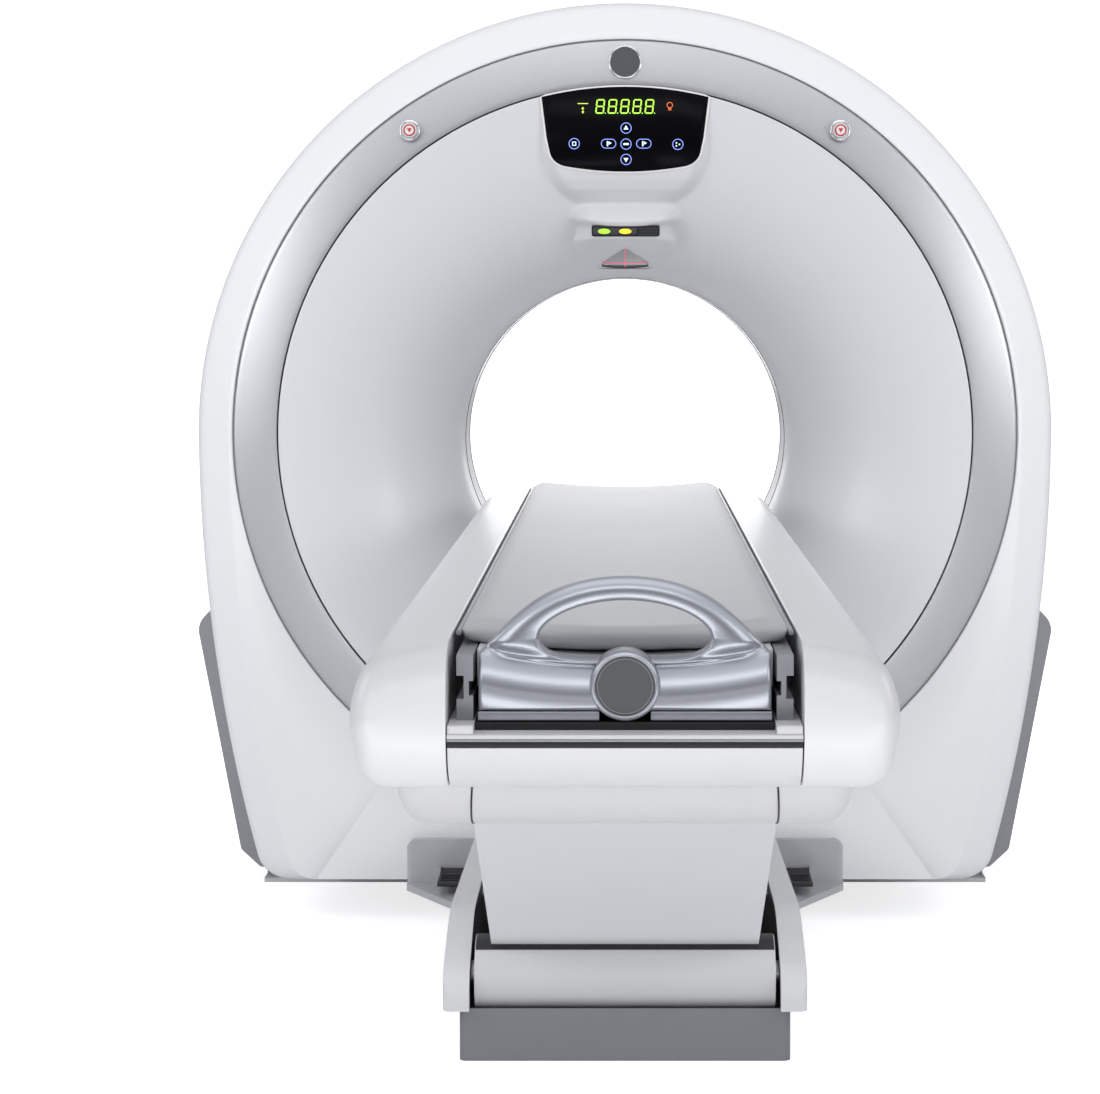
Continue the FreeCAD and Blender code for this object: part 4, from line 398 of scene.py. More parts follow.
# Body, slot and finish that several pieces share.
SHELL = ("gantry", "pale_cover", SHELL_PALE)
GANTRY_BLACK = ("gantry", "dark_plastic", TRIM_BLACK)
TABLE_BLACK = ("carriage", "dark_plastic", TRIM_BLACK)
TABLE_PANEL = ("carriage", "light_frame", PANEL_WHITE)
TABLE_CREAM = ("carriage", "light_frame", CREAM_STRIP)
SCREEN = ("gantry", "display_black")

NODE_FINISH = (
    (SHELL_WHITE, "front_cover middle_cover rear_cover lift_leg"),
    (SHELL_PALE, "front_funnel rear_funnel console_housing cradle_shell"),
    (RING_SILVER, "front_ring"),
    (WINDOW_FILM, "scan_window"),
    (GLASS_BLACK, "display_panel"),
    (TRIM_DARK, "light_bar laser_window brush_block handle_badge"),
    (CHROME, "stop_bezels"),
    (BUTTON_WHITE, "stop_button_left stop_button_right"),
    (COVER_GREY, "column_covers"),
    (FRAME_PAINT, "columns drive_motor lift_brackets cradle_motor"),
    (CAST_PAINT, "tilt_gearbox trunnion_cap counterweight"),
    (PANEL_WHITE, "gantry_floor_plate rotor_cabinets leg_drum end_panels lower_casing"),
    (ALUMINIUM, "tilt_frame rotor_drum tube_housing detector_arc heat_exchanger table_beam"),
    (STEEL, "bearing_outer_ring bearing_inner_ring motor_pulley hinge_shafts rear_link head_shafts"),
    (TRIM_BLACK, "slip_ring table_base_frame foot_pedal_left foot_pedal_right slide_strips"),
    (RUBBER, "drive_belt"),
    (HOUSING_GREY, "cable_duct pedal_housings"),
    (PLINTH_GREY, "table_plinth"),
    (TABLE_WHITE, "base_side_covers table_side_cover_left table_side_cover_right"),
    (CREAM_STRIP, "top_plate"),
    (RAIL_GREY, "cradle_rails"),
    (PAD_CLOTH, "table_pad"),
    (HANDLE_SILVER, "push_handle"),
)
for node_finish, node_names in NODE_FINISH:
    for node_name in node_names.split():
        node_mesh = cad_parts[node_name].data
        node_mesh.materials.clear()
        node_mesh.materials.append(node_finish)


# ---- gantry front: trumpet, console, display ----

# Central profile of the console and hood, from the rim down: height, and distance before the isocentre plane.
CONSOLE_PROFILE = np.array([
    (1.800, -0.404), (1.585, -0.404), (1.574, -0.4015), (1.560, -0.396), (1.540, -0.383), (1.522, -0.362),
    (1.516, -0.353), (1.510, -0.3525), (1.482, -0.368), (1.476, -0.3705), (1.473, -0.3695), (1.440, -0.345),
    (1.3775, -0.1655), (1.369, -0.120), (1.364, -0.050)])
# Its half-width at each height.
CONSOLE_WIDTH = np.array([
    (1.800, 0.176), (1.728, 0.176), (1.664, 0.170), (1.613, 0.161), (1.585, 0.152), (1.560, 0.142),
    (1.530, 0.122), (1.515, 0.107), (1.480, 0.106), (1.472, 0.090), (1.440, 0.101), (1.418, 0.118),
    (1.380, 0.150)])


def profile_value(table, z, blur):
    """Piecewise-linear table read at heights z, averaged over plus or minus blur to round its corners."""
    steps = np.linspace(-1.0, 1.0, 9)
    weights = 1.0 - 0.9 * np.abs(steps)
    readings = (np.interp(z + blur * step, table[::-1, 0], table[::-1, 1]) for step in steps)
    return sum(weight * reading for weight, reading in zip(weights, readings)) / weights.sum()


def soft_min(a, b, k):
    """Lower of two height fields, with a fillet about k wide where they cross."""
    h = np.clip(0.5 + 0.5 * (b - a) / k, 0.0, 1.0)
    return b * (1 - h) + a * h - k * h * (1 - h)


def console_depth(x, z, funnel_y):
    """Height field y(x, z) = soft_min(funnel, profile(z) + ramp(|x| - width(z))); lower y is nearer the front."""
    over = np.abs(x) - profile_value(CONSOLE_WIDTH, z, 0.010)
    slack = 0.012 + 0.020 * smooth_step((1.56 - z) / 0.08)
    rise = slack * np.log1p(np.exp(np.clip((over + 0.004) / slack * 2.0, -30, 30))) / 2.0
    slope = 2.2 + 1.8 * smooth_step((1.50 - z) / 0.05)
    fillet = 0.003 + 0.013 * smooth_step((z - 1.39) / 0.06) - 0.012 * smooth_step((z - 1.60) / 0.10)
    return soft_min(funnel_y, profile_value(CONSOLE_PROFILE, z, 0.0035) + slope * rise, fillet)


def funnel_grid(outer_r, lift, rim_y, throat_y, steps, angles):
    """Trumpet: r = bore + (outer - bore)(1 - cos t), y = throat + (rim - throat) sin t; its centre rises by lift."""
    t = quarter(steps)[:, None]
    share = 1.0 - np.cos(t)
    r = BORE_R + (outer_r - BORE_R) * share
    x = r * np.sin(angles)[None, :]
    z = ISO_Z + lift * share + r * np.cos(angles)[None, :]
    return x, throat_y + (rim_y - throat_y) * np.sin(t), z


def build_front_funnel():
    """Front trumpet and console in one skin, dense round the console at the top."""
    dense = np.linspace(30.0, -30.0, 240)
    rest = np.linspace(-30.0, -330.0, 130)[1:-1]
    angles = np.radians(np.concatenate([dense, rest]))
    x, y, z = funnel_grid(0.7136, FACE_Z - ISO_Z, FRONT_Y, -WINDOW_HALF, 210, angles)
    skin = sheet("front_funnel_skin", points(x, console_depth(x, z, y), z), 0.004, True, *SHELL)
    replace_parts(skin, "front_funnel", "console_housing")


def build_rear_funnel():
    """Plain rear trumpet, out to just inside the constructed one's rim."""
    low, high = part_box("rear_funnel")
    x, y, z = funnel_grid((high.x - low.x) / 2 - 0.001, (high.z + low.z) / 2 - ISO_Z, high.y, WINDOW_HALF, 60,
                          full_turn(220))
    skin = sheet("rear_funnel_skin", points(x, y, z), 0.004, True, *SHELL)
    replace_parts(skin, "rear_funnel")


def build_window_seams():
    """Dark seam lines where the scan window meets the two trumpets."""
    seam = np.array([(0.0010, -0.0014), (-0.0010, -0.0011), (-0.0010, 0.0011), (0.0010, 0.0014)])
    for name, y in (("front", -WINDOW_HALF), ("rear", WINDOW_HALF)):
        turned("window_seam_" + name, seam + (BORE_R, y), (0.0, ISO_Z), 256, *GANTRY_BLACK)


def build_front_ring():
    """Ring with quarter-round front edges, whose face falls back towards its outer edge."""
    inner, outer, edge, fall = 0.7166, 0.8080, 0.0022, 0.009
    a = quarter(6)
    left = points(inner + edge - edge * np.cos(a), FRONT_Y + edge - edge * np.sin(a))
    right = points(outer - edge + edge * np.sin(a), FRONT_Y + edge - edge * np.cos(a))
    crown = np.linspace(inner + edge, outer - edge, 12)[1:-1]
    middle = points(crown, FRONT_Y)
    back = FRONT_Y + 0.020
    section = np.concatenate([[(inner, back)], left, middle, right, [(outer, back)]])
    section[:, 1] += fall * ((section[:, 0] - inner) / (outer - inner)) ** 1.3
    ring = turned("front_ring_skin", section, (0.0, FACE_Z), 256, "gantry", "pale_cover", RING_SILVER)
    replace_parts(ring, "front_ring")
    sharpen(ring, 50)


def cover_outline(half_top, half_foot, foot_z, corner=0.060):
    """Gantry cover's edge: round top, long side arcs of radius (d^2 + s^2) / 2 s, flat foot with round corners."""
    drop, sag = FACE_Z - foot_z, half_top - half_foot
    side_r = (drop * drop + sag * sag) / (2 * sag)
    side_x = half_top - side_r
    corner_z = foot_z + corner
    corner_x = side_x + math.sqrt((side_r - corner) ** 2 - (FACE_Z - corner_z) ** 2)
    lean = math.atan2(FACE_Z - corner_z, corner_x - side_x)
    a = quarter(120)
    top = points(half_top * np.sin(a), FACE_Z + half_top * np.cos(a))
    a = np.linspace(0.0, lean, 90)[1:]
    side = points(side_x + side_r * np.cos(a), FACE_Z - side_r * np.sin(a))
    a = np.linspace(lean, math.pi / 2, 24)[1:]
    foot = points(corner_x + corner * np.cos(a), corner_z - corner * np.sin(a))
    flat = points(np.linspace(corner_x, 0.0, 60)[1:], foot_z)
    half = np.concatenate([top, side, foot, flat])
    return np.concatenate([half, half[::-1][1:-1] * MIRROR])


def build_front_cover():
    """Front cover: a bevelled border of even width round the ring and a flat lower face, then its side and back."""
    angles = np.linspace(-math.pi, math.pi, 1080, endpoint=False)
    centre = (0.0, FACE_Z)
    hole = 0.8092
    bevel_in, bevel_out, bevel_depth = 0.0745, 0.020, 0.034

    def edge(inset):
        outline = cover_outline(0.892 - inset, 0.766 - inset, 0.101 + inset * 0.12)
        return np.maximum(ray_outline(outline, centre, angles), hole + 0.0016)

    body = ray_outline(cover_outline(0.786, 0.751, 0.111), centre, angles)
    ring = np.full(len(angles), hole)
    rows = [(ring, 0.030), (ring, 0.0014), (ring + 0.0006, 0.0004), (ring + 0.0014, 0.0)]
    bevel = [(inset, 0.0014 + bevel_depth * (bevel_in - inset) / (bevel_in - bevel_out))
             for inset in np.linspace(0.066, bevel_out, 6)]
    front = [(0.0785, 0.0), (0.0765, 0.0004), (bevel_in, 0.0014), *bevel, (0.0155, 0.0390), (0.0110, 0.0445),
             (0.0070, 0.0520), (0.0040, 0.0610), (0.0018, 0.0740), (0.0006, 0.0900), (0.0, 0.1100)]
    rows += [(edge(inset), y) for inset, y in front]
    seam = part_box("front_cover")[1].y - 0.001 - FRONT_Y
    rows += [(edge(0.0), seam - 0.004), (edge(0.0010), seam - 0.0012), (edge(0.0035), seam), (body, seam),
             (body, seam - 0.006), (edge(0.0060), seam - 0.006), (edge(0.0070), 0.1150), (edge(0.0260), 0.0480),
             (edge(0.0760), 0.0300)]
    r = np.array([row[0] for row in rows])
    y = FRONT_Y + np.array([row[1] for row in rows])[:, None]
    grid = points(r * np.cos(angles), y, FACE_Z + r * np.sin(angles))
    faces = grid_faces(len(rows), len(angles), True, True)
    skin = new_piece("front_cover_skin", grid, faces, "gantry", "white_cover", SHELL_WHITE)
    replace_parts(skin, "front_cover")
    sharpen(outward(skin))


def display_outline():
    """Display's edge: arc on the trumpet's rim above, leaning sides, rounded lower corners, shallow arc below."""
    top_r, top_half, foot_half = 0.7120, 0.1700, 0.1230
    a = np.linspace(-1.0, 1.0, 41) * math.asin(top_half / top_r)
    top = points(top_r * np.sin(a), FACE_Z + top_r * np.cos(a))
    side = np.array([(0.1655, 1.690), (0.1600, 1.645), (0.1530, 1.613)])
    corner = np.array([(0.1530, 1.613), (0.1470, 1.5925), (foot_half, 1.5865)])
    s = np.linspace(0.0, 1.0, 12)[1:, None]
    curve = corner[0] * (1 - s) ** 2 + corner[1] * 2 * s * (1 - s) + corner[2] * s ** 2
    x = np.linspace(foot_half, -foot_half, 31)[1:-1]
    bottom = points(x, 1.5755 + 0.0110 * (x / foot_half) ** 2)
    right = np.concatenate([side, curve])
    return np.concatenate([top, right, bottom, right[::-1] * MIRROR])


def flat_marks(name, outlines, y, *look, depth=0.0006, width=0.0):
    """Thin flat marks facing the front, one for each outline: a prism, or with a width only a line along its edge."""
    places, faces, start = [], [], 0
    for outline in outlines:
        n = len(outline)
        loops = [facing(outline, y), facing(outline, y + depth)]
        if width:
            inner = grown(outline, -width)
            loops += [facing(inner, y + depth), facing(inner, y)]
        else:
            faces += [[start + k for k in range(n)][::-1], [start + n + k for k in range(n)]]
        faces += (grid_faces(len(loops), n, bool(width), True) + start).tolist()
        places += loops
        start += len(loops) * n
    return outward(new_piece(name, np.concatenate(places), faces, *look, smooth=False))


def panel_place(px, py):
    """Place on the display's plane (x, z) of a point given in units of 2.07 mm from the panel's axis."""
    unit = 0.00207
    return np.array([(px - 625.0) * unit, 1.300 + (306.0 - py) * unit])


def segment(centre, along, half_length, half_width):
    """Six-sided bar of a number display about a centre, along a unit direction."""
    along = np.array(along, float)
    sideways = np.array([-along[1], along[0]])
    tip = half_length - half_width
    shape = [(half_length, 0), (tip, half_width), (-tip, half_width), (-half_length, 0), (-tip, -half_width),
             (tip, -half_width)]
    return np.array([np.array(centre) + along * a + sideways * b for a, b in shape])


def digit(cx, cz, width, height, lean):
    """All seven bars of an eight, and its point."""
    w, h, bar = width / 2, height / 2, width * 0.085
    up = np.array([math.sin(lean), math.cos(lean)])
    flat = np.array([1.0, 0.0])
    centre = np.array([cx, cz])
    bars = [segment(centre + up * h * k, flat, w * 0.92, bar) for k in (-1, 0, 1)]
    bars += [segment(centre + flat * w * sx + up * h * k, up, h * 0.47, bar) for sx in (-1, 1) for k in (-0.5, 0.5)]
    point = round_ended(cx + w * 1.55 - h * math.sin(lean), cz - h, bar * 0.9, bar * 0.9, 8)
    return bars + [point]


def arrow(cx, cz, size, turn):
    """Triangle with its tip in a direction: turn 0 up, 180 down."""
    a = np.radians(90.0 - turn + np.array([0.0, 120.0, 240.0]))
    return points(cx + size * np.cos(a), cz + size * np.sin(a))


def build_display():
    """Black glass in a white rim, with lit digits, keys and marks just before it."""
    outline = display_outline()
    layered("display_rim", outline, ((0.0036, -0.4000), (0.0036, -0.4055), (0.0022, -0.4066)), facing,
            "gantry", "white_cover", BUTTON_WHITE)
    glass = layered("display_glass", outline, ((0.0, -0.4040), (0.0, -0.4074), (-0.0012, -0.4082)), facing,
                    *SCREEN, GLASS_BLACK)
    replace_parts(glass, "display_panel")
    face = -0.4085
    up_key, middle_key, down_key = (626, 130.4), (626, 146), (626, 161)
    square_key, dotted_key = (575, 145.6), (677, 146.3)
    arrow_keys = ((608.8, 145.6), (643.5, 145.6))

    digits = []
    for k in range(5):
        digits += digit(*panel_place(600.6 + 12.1 * k, 109.3), 0.0150, 0.0270, math.radians(6))
    flat_marks("display_digits", digits, face, *SCREEN, DIGIT_GREEN)

    rings = [round_ended(*panel_place(*key), 0.0112, 0.0112)
             for key in (up_key, middle_key, down_key, square_key, dotted_key)]
    rings += [round_ended(*panel_place(*key), 0.0155, 0.0098) for key in arrow_keys]
    flat_marks("display_key_rings", rings, face, *SCREEN, KEY_BLUE, width=0.0014)

    marks = [arrow(*panel_place(*up_key), 0.0058, 0), arrow(*panel_place(*down_key), 0.0058, 180),
             round_ended(*panel_place(*middle_key), 0.0058, 0.0019)]
    for key in arrow_keys:
        x, z = panel_place(*key)
        marks += [segment((x - 0.0022, z), (0.0, 1.0), 0.0058, 0.0014), arrow(x + 0.0022, z + 0.0012, 0.0042, 90)]
    x, z = panel_place(*dotted_key)
    marks += [round_ended(x + dx, z + dz, 0.0016, 0.0016, 12)
              for dx, dz in ((-0.003, 0.003), (0.003, 0.0), (-0.003, -0.003))]
    flat_marks("display_key_marks", marks, face, *SCREEN, KEY_PALE)
    square = round_ended(*panel_place(*square_key), 0.0058, 0.0058, 4)
    flat_marks("display_key_square", [square], face, *SCREEN, KEY_PALE, width=0.0022)

    x, z = panel_place(583.5, 113)
    marks = [arrow(x, z + 0.0040, 0.0032, 0), arrow(x, z - 0.0040, 0.0032, 180),
             segment((x, z), (0.0, 1.0), 0.0030, 0.0006),
             segment(panel_place(583.5, 106.5), (1.0, 0.0), 0.0110, 0.0008)]
    flat_marks("display_table_mark", marks, face, *SCREEN, MARK_YELLOW)
    x, z = panel_place(669, 108)
    marks = [round_ended(x, z - 0.0060, 0.0030, 0.0016, 16), segment((x, z - 0.0095), (1.0, 0.0), 0.0038, 0.0008)]
    flat_marks("display_lamp_mark", marks, face, *SCREEN, MARK_ORANGE)
    ring = round_ended(x, z, 0.0062, 0.0062, 24)
    flat_marks("display_lamp_ring", [ring], face, *SCREEN, MARK_ORANGE, width=0.0014)


# Steep front of the hood and the long slope below it, as (y, z) of their upper and lower ends.
STEEP = np.array([(-0.3695, 1.473), (-0.345, 1.440)])
SLOPE = np.array([(-0.345, 1.440), (-0.1655, 1.3775)])


def slope_plate(name, line, outline, layers, *look):
    """Plate on a sloping face: (x, down) points from its upper end, layers of (growth, out) along its normal."""
    direction = (line[1] - line[0]) / np.linalg.norm(line[1] - line[0])
    normal = np.array([direction[1], -direction[0]])

    def on_slope(flat, out):
        return np.insert(line[0] + flat[:, 1:] * direction + out * normal, 0, flat[:, 0], axis=1)

    return layered(name, outline, layers, on_slope, *look)


def laser_plate(name, corners, radii, layers, *look):
    """Kite-shaped plate on the long slope, from its (top, half-width, widest place, foot)."""
    top, half, widest, foot = corners
    places = ((0.0, top), (half, widest), (0.0, foot), (-half, widest))
    kite = rounded_outline([(*place, radius) for place, radius in zip(places, radii)], 12)
    return slope_plate(name, SLOPE, kite, layers, *look)


def build_hood_details():
    """Light bar with two lamps and five ribs, and the laser's window with its cross of light."""
    grey = ("gantry", "dark_plastic", TRIM_DARK)
    bar = box_outline(-0.0690, 0.0085, 0.0715, 0.0330, (0.004, 0.004, 0.006, 0.006), 6)
    bar = slope_plate("light_bar_frame", STEEP, bar, ((0.0, -0.004), (0.0, 0.0016), (-0.0012, 0.0024)),
                      *GANTRY_BLACK)
    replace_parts(bar, "light_bar")
    lens = box_outline(-0.0655, 0.0115, 0.0240, 0.0270, (0.003, 0.002, 0.002, 0.003), 5)
    slope_plate("light_bar_lens", STEEP, lens, ((0.0, -0.001), (0.0, 0.0026), (-0.0006, 0.0030)), *grey)
    s = full_turn(32)
    for name, cx, material in (("lamp_green", -0.0430, LAMP_GREEN), ("lamp_yellow", 0.0005, LAMP_YELLOW)):
        lamp = points(cx + 0.0128 * np.cos(s), 0.0190 + 0.0066 * np.sin(s))
        slope_plate(name, STEEP, lamp, ((0.0, 0.0), (0.0, 0.0032), (-0.002, 0.0040)),
                    "gantry", "dark_plastic", material)
    for k in range(5):
        top = 0.0115 + 0.0036 * k
        rib = box_outline(0.0285, top, 0.0675, top + 0.0016, (0.0004,) * 4, 3)
        slope_plate("light_bar_rib_%d" % (k + 1), STEEP, rib, ((0.0, 0.001), (0.0, 0.0036)), *grey)
    rim = laser_plate("laser_rim", (0.036, 0.0620, 0.1640, 0.1860), (0.016, 0.022, 0.060, 0.022),
                      ((0.0, -0.006), (0.0, 0.0010), (-0.0012, 0.0016)), *SHELL)
    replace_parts(rim, "laser_window")
    laser_plate("laser_shadow", (0.044, 0.0555, 0.1560, 0.1770), (0.014, 0.016, 0.050, 0.016),
                ((0.0, -0.002), (0.0, 0.0018)), *GANTRY_BLACK)
    laser_plate("laser_pane", (0.044, 0.0530, 0.1440, 0.1600), (0.014, 0.014, 0.046, 0.014),
                ((0.0, -0.001), (0.0, 0.0022), (-0.001, 0.0026)), "gantry", "dark_plastic", LENS_GREY)
    for name, box, radius in (("long", (-0.0007, 0.046, 0.0007, 0.158), 0.0003),
                              ("across", (-0.0460, 0.1300, 0.0460, 0.1335), 0.0008)):
        slope_plate("laser_line_" + name, SLOPE, box_outline(*box, (radius,) * 4, 2),
                    ((0.0, 0.001), (0.0, 0.0029)), "gantry", "dark_plastic", CROSS_RED)


def build_stops():
    """Emergency stops: white disc with a red ring and a triangle, in a bright collar."""
    cap = np.array([(0.0002, -0.0022), (0.006, -0.0021), (0.0115, -0.0016), (0.0140, -0.0004), (0.0149, 0.0014),
                    (0.0149, 0.010), (0.0002, 0.010)])
    ring = np.array([(0.0092, -0.0012), (0.0092, -0.0026), (0.0100, -0.0029), (0.0118, -0.0024), (0.0124, -0.0012)])
    collar = np.array([(0.0156, 0.010), (0.0156, 0.0010), (0.0166, 0.0), (0.0186, -0.0004), (0.0206, 0.0008),
                       (0.0214, 0.0026), (0.0214, 0.010)])
    for side in ("left", "right"):
        low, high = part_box("stop_button_" + side)
        centre = ((low.x + high.x) / 2, (low.z + high.z) / 2)
        look = ("button_" + side, "button_red")
        turned("stop_cap_" + side, cap + (0.0, low.y), centre, 48, *look, BUTTON_WHITE)
        turned("stop_ring_" + side, ring + (0.0, low.y), centre, 48, *look, BUTTON_RED)
        mark = arrow(centre[0], centre[1] + 0.0008, 0.0058, 180)
        flat_marks("stop_mark_" + side, [mark], low.y - 0.0026, *look, BUTTON_RED, depth=0.0012)
        piece = turned("stop_collar_" + side, collar + (0.0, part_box("stop_bezels")[0].y), centre, 64,
                       "gantry", "chrome_trim", CHROME)
        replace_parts(piece, "stop_bezels")


def build_ring_badge():
    """Blank round plate on the ring's middle line, above the display."""
    centre = (0.0, 1.797)
    rim = [(0.0300, -0.3960), (0.0300, -0.4045), (0.0312, -0.4052), (0.0330, -0.4050), (0.0340, -0.4038),
           (0.0342, -0.3960)]
    turned("ring_badge_rim", rim, centre, 72, "gantry", "chrome_trim", CHROME)
    disc = [(0.0002, -0.4042), (0.018, -0.4042), (0.0298, -0.4040), (0.0302, -0.4000), (0.0002, -0.4000)]
    sharpen(turned("ring_badge_disc", disc, centre, 72, *SCREEN, DISC_GREY))


build_front_funnel()
build_front_cover()
build_window_seams()
build_front_ring()
build_display()
build_hood_details()
build_stops()
build_ring_badge()
build_rear_funnel()


# ---- patient table ----

TABLE_FOOT = -2.730
TABLE_HEAD = -0.290
COVER_LOW, COVER_TOP = 0.757, 0.926
COVER_MIDDLE = (COVER_LOW + COVER_TOP) / 2
ROLL = 0.085       # depth of the rolled foot end
ROLL_POWER = 2.4   # its superellipse's exponent


def build_side_covers():
    """One rounded section drawn in at both ends: z = middle + (z0 - middle) high, x = inner + (x0 - inner) wide."""
    inner, head_round = 0.1968, 0.05
    section = rounded_outline([(inner, 0.7570, 0.005), (0.2960, 0.7570, 0.036), (0.3128, 0.8520, 0.034),
                               (0.2880, 0.9060, 0.024), (inner, 0.9262, 0.005)], 14)
    length = TABLE_HEAD - TABLE_FOOT
    straight = np.linspace(ROLL, length - head_round, 14)[1:-1]
    depth = np.concatenate([ROLL * (1.0 - np.cos(quarter(26))), straight,
                            length - head_round + head_round * np.sin(quarter(10))])
    back = np.clip((ROLL - depth) / ROLL, 0.0, 1.0)
    foot = np.maximum((1.0 - back ** ROLL_POWER) ** (1.0 / ROLL_POWER), 0.03)
    head = 1.0 - 0.13 * arc_drop(1.0 - (length - depth) / head_round)
    wide = (1.0 - 0.30 * (1.0 - foot)) * (1.0 - 0.6 * (1.0 - head))
    x = inner + (section[:, 0] - inner)[None, :] * wide[:, None]
    z = COVER_MIDDLE + (section[:, 1] - COVER_MIDDLE)[None, :] * (foot * head)[:, None]
    y = (TABLE_FOOT + depth)[:, None]
    for side, hand in SIDES:
        node = "table_side_cover_" + hand
        shell = closed_loft(node + "_skin", points(side * x, y, z), "carriage", "white_cover", TABLE_WHITE)
        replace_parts(shell, node)


def end_profile(top_z=0.8130, end_depth=0.125):
    """Side view (y, z) of the foot panel's outer face, from its top edge down round the roll."""
    half = COVER_MIDDLE - COVER_LOW
    a = np.linspace(math.asin((COVER_MIDDLE - top_z) / half), math.pi / 2, 40)
    depth = ROLL * (1.0 - np.clip(1.0 - np.sin(a) ** ROLL_POWER, 0.0, 1.0) ** (1.0 / ROLL_POWER))
    curve = points(TABLE_FOOT + depth, COVER_MIDDLE - half * np.sin(a))
    return np.concatenate([curve, [(TABLE_FOOT + end_depth, COVER_LOW)]])


def bent_panel(name, profile, half, wall, edge, *look):
    """Sheet bent along a side-view profile, with rounded long edges: its rows are offset inwards near x = +-half."""
    ahead = np.gradient(profile, axis=0)
    normal = points(-ahead[:, 1], ahead[:, 0])
    normal /= np.linalg.norm(normal, axis=1)[:, None]
    if normal[0, 0] < 0:
        normal = -normal
    a = quarter(5)
    x = np.concatenate([-half + edge * (1 - np.cos(a)), half - edge * (1 - np.cos(a[::-1]))])
    sink = edge * (1 - np.sin(np.concatenate([a, a[::-1]])))
    front = profile[:, None, :] + normal[:, None, :] * sink[None, :, None]
    back = np.broadcast_to(profile[:, None, :] + normal[:, None, :] * wall, front.shape)
    ring = np.concatenate([front, back[:, ::-1]], 1)
    rows = np.concatenate([x, x[::-1]])[None, :]
    return closed_loft(name, points(rows, ring[..., 0], ring[..., 1]), *look)


def build_table_end():
    """Foot end between the side covers: cream strip, black line, rolled panel and what backs its seams."""
    profile = end_profile()
    sharpen(bent_panel("foot_panel_skin", profile, 0.1952, 0.005, 0.0015, *TABLE_PANEL), 60)
    bent_panel("foot_panel_backing", profile + (0.006, 0.003), 0.199, 0.004, 0.0005, *TABLE_BLACK)
    foot = TABLE_FOOT
    strip = rounded_outline([(foot, 0.8208, 0.001), (foot, 0.8285, 0.003), (-2.620, 0.8285, 0.001),
                             (-2.612, 0.8366, 0.001), (TABLE_HEAD, 0.8366, 0.001), (TABLE_HEAD, 0.8208, 0.001)], 4)
    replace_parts(across("top_plate_skin", strip, -0.1954, 0.1954, 0.0, *TABLE_CREAM), "top_plate")
    lip = box_outline(foot - 0.0006, 0.8207, foot + 0.006, 0.8240, (0.0006, 0.0004, 0.0004, 0.0008), 3)
    across("top_plate_lip", lip, -0.1953, 0.1953, 0.0, "carriage", "light_frame", RAIL_GREY)
    seal = box_outline(foot + 0.004, 0.8110, foot + 0.060, 0.8209, (0.0005,) * 4, 3)
    across("foot_seal", seal, -0.1955, 0.1955, 0.0, *TABLE_BLACK)
    # Black block under the handle's foot: painted shadow, standing in for the dark shade gap between the handle and
    # the cream strip.
    rest = box_outline(foot + 0.030, 0.8283, -2.611, 0.8372, (0.0004, 0.0004, 0.0004, 0.0008), 3)
    across("handle_foot_shadow", rest, -0.1655, 0.1655, 0.0, *TABLE_BLACK)
    ledge = box_outline(-2.6975, 0.8385, -2.660, 0.8487, (0.0015, 0.0006, 0.0006, 0.0010))
    block = rounded_outline([(-2.600, 0.8280, 0.001), (-2.600, 0.8382, 0.001), (foot + 0.003, 0.8382, 0.003),
                             (foot + 0.003, 0.8280, 0.001)], 4)
    silver = ("carriage", "handle_silver", HANDLE_SILVER)
    for name, outline, ends, edge, look in (("handle_ledge_", ledge, (0.0285, 0.1630), 0.0006, silver),
                                            ("rail_foot_", block, (0.1665, 0.1954), 0.0008, TABLE_CREAM)):
        for side, hand in SIDES:
            x0, x1 = sorted((side * ends[0], side * ends[1]))
            across(name + hand, outline, x0, x1, edge, *look)
    head = box_outline(TABLE_HEAD - 0.008, COVER_LOW, TABLE_HEAD, 0.8215, (0.001, 0.002, 0.002, 0.001))
    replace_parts(across("head_panel_skin", head, -0.1952, 0.1952, 0.0, *TABLE_PANEL), "end_panels")


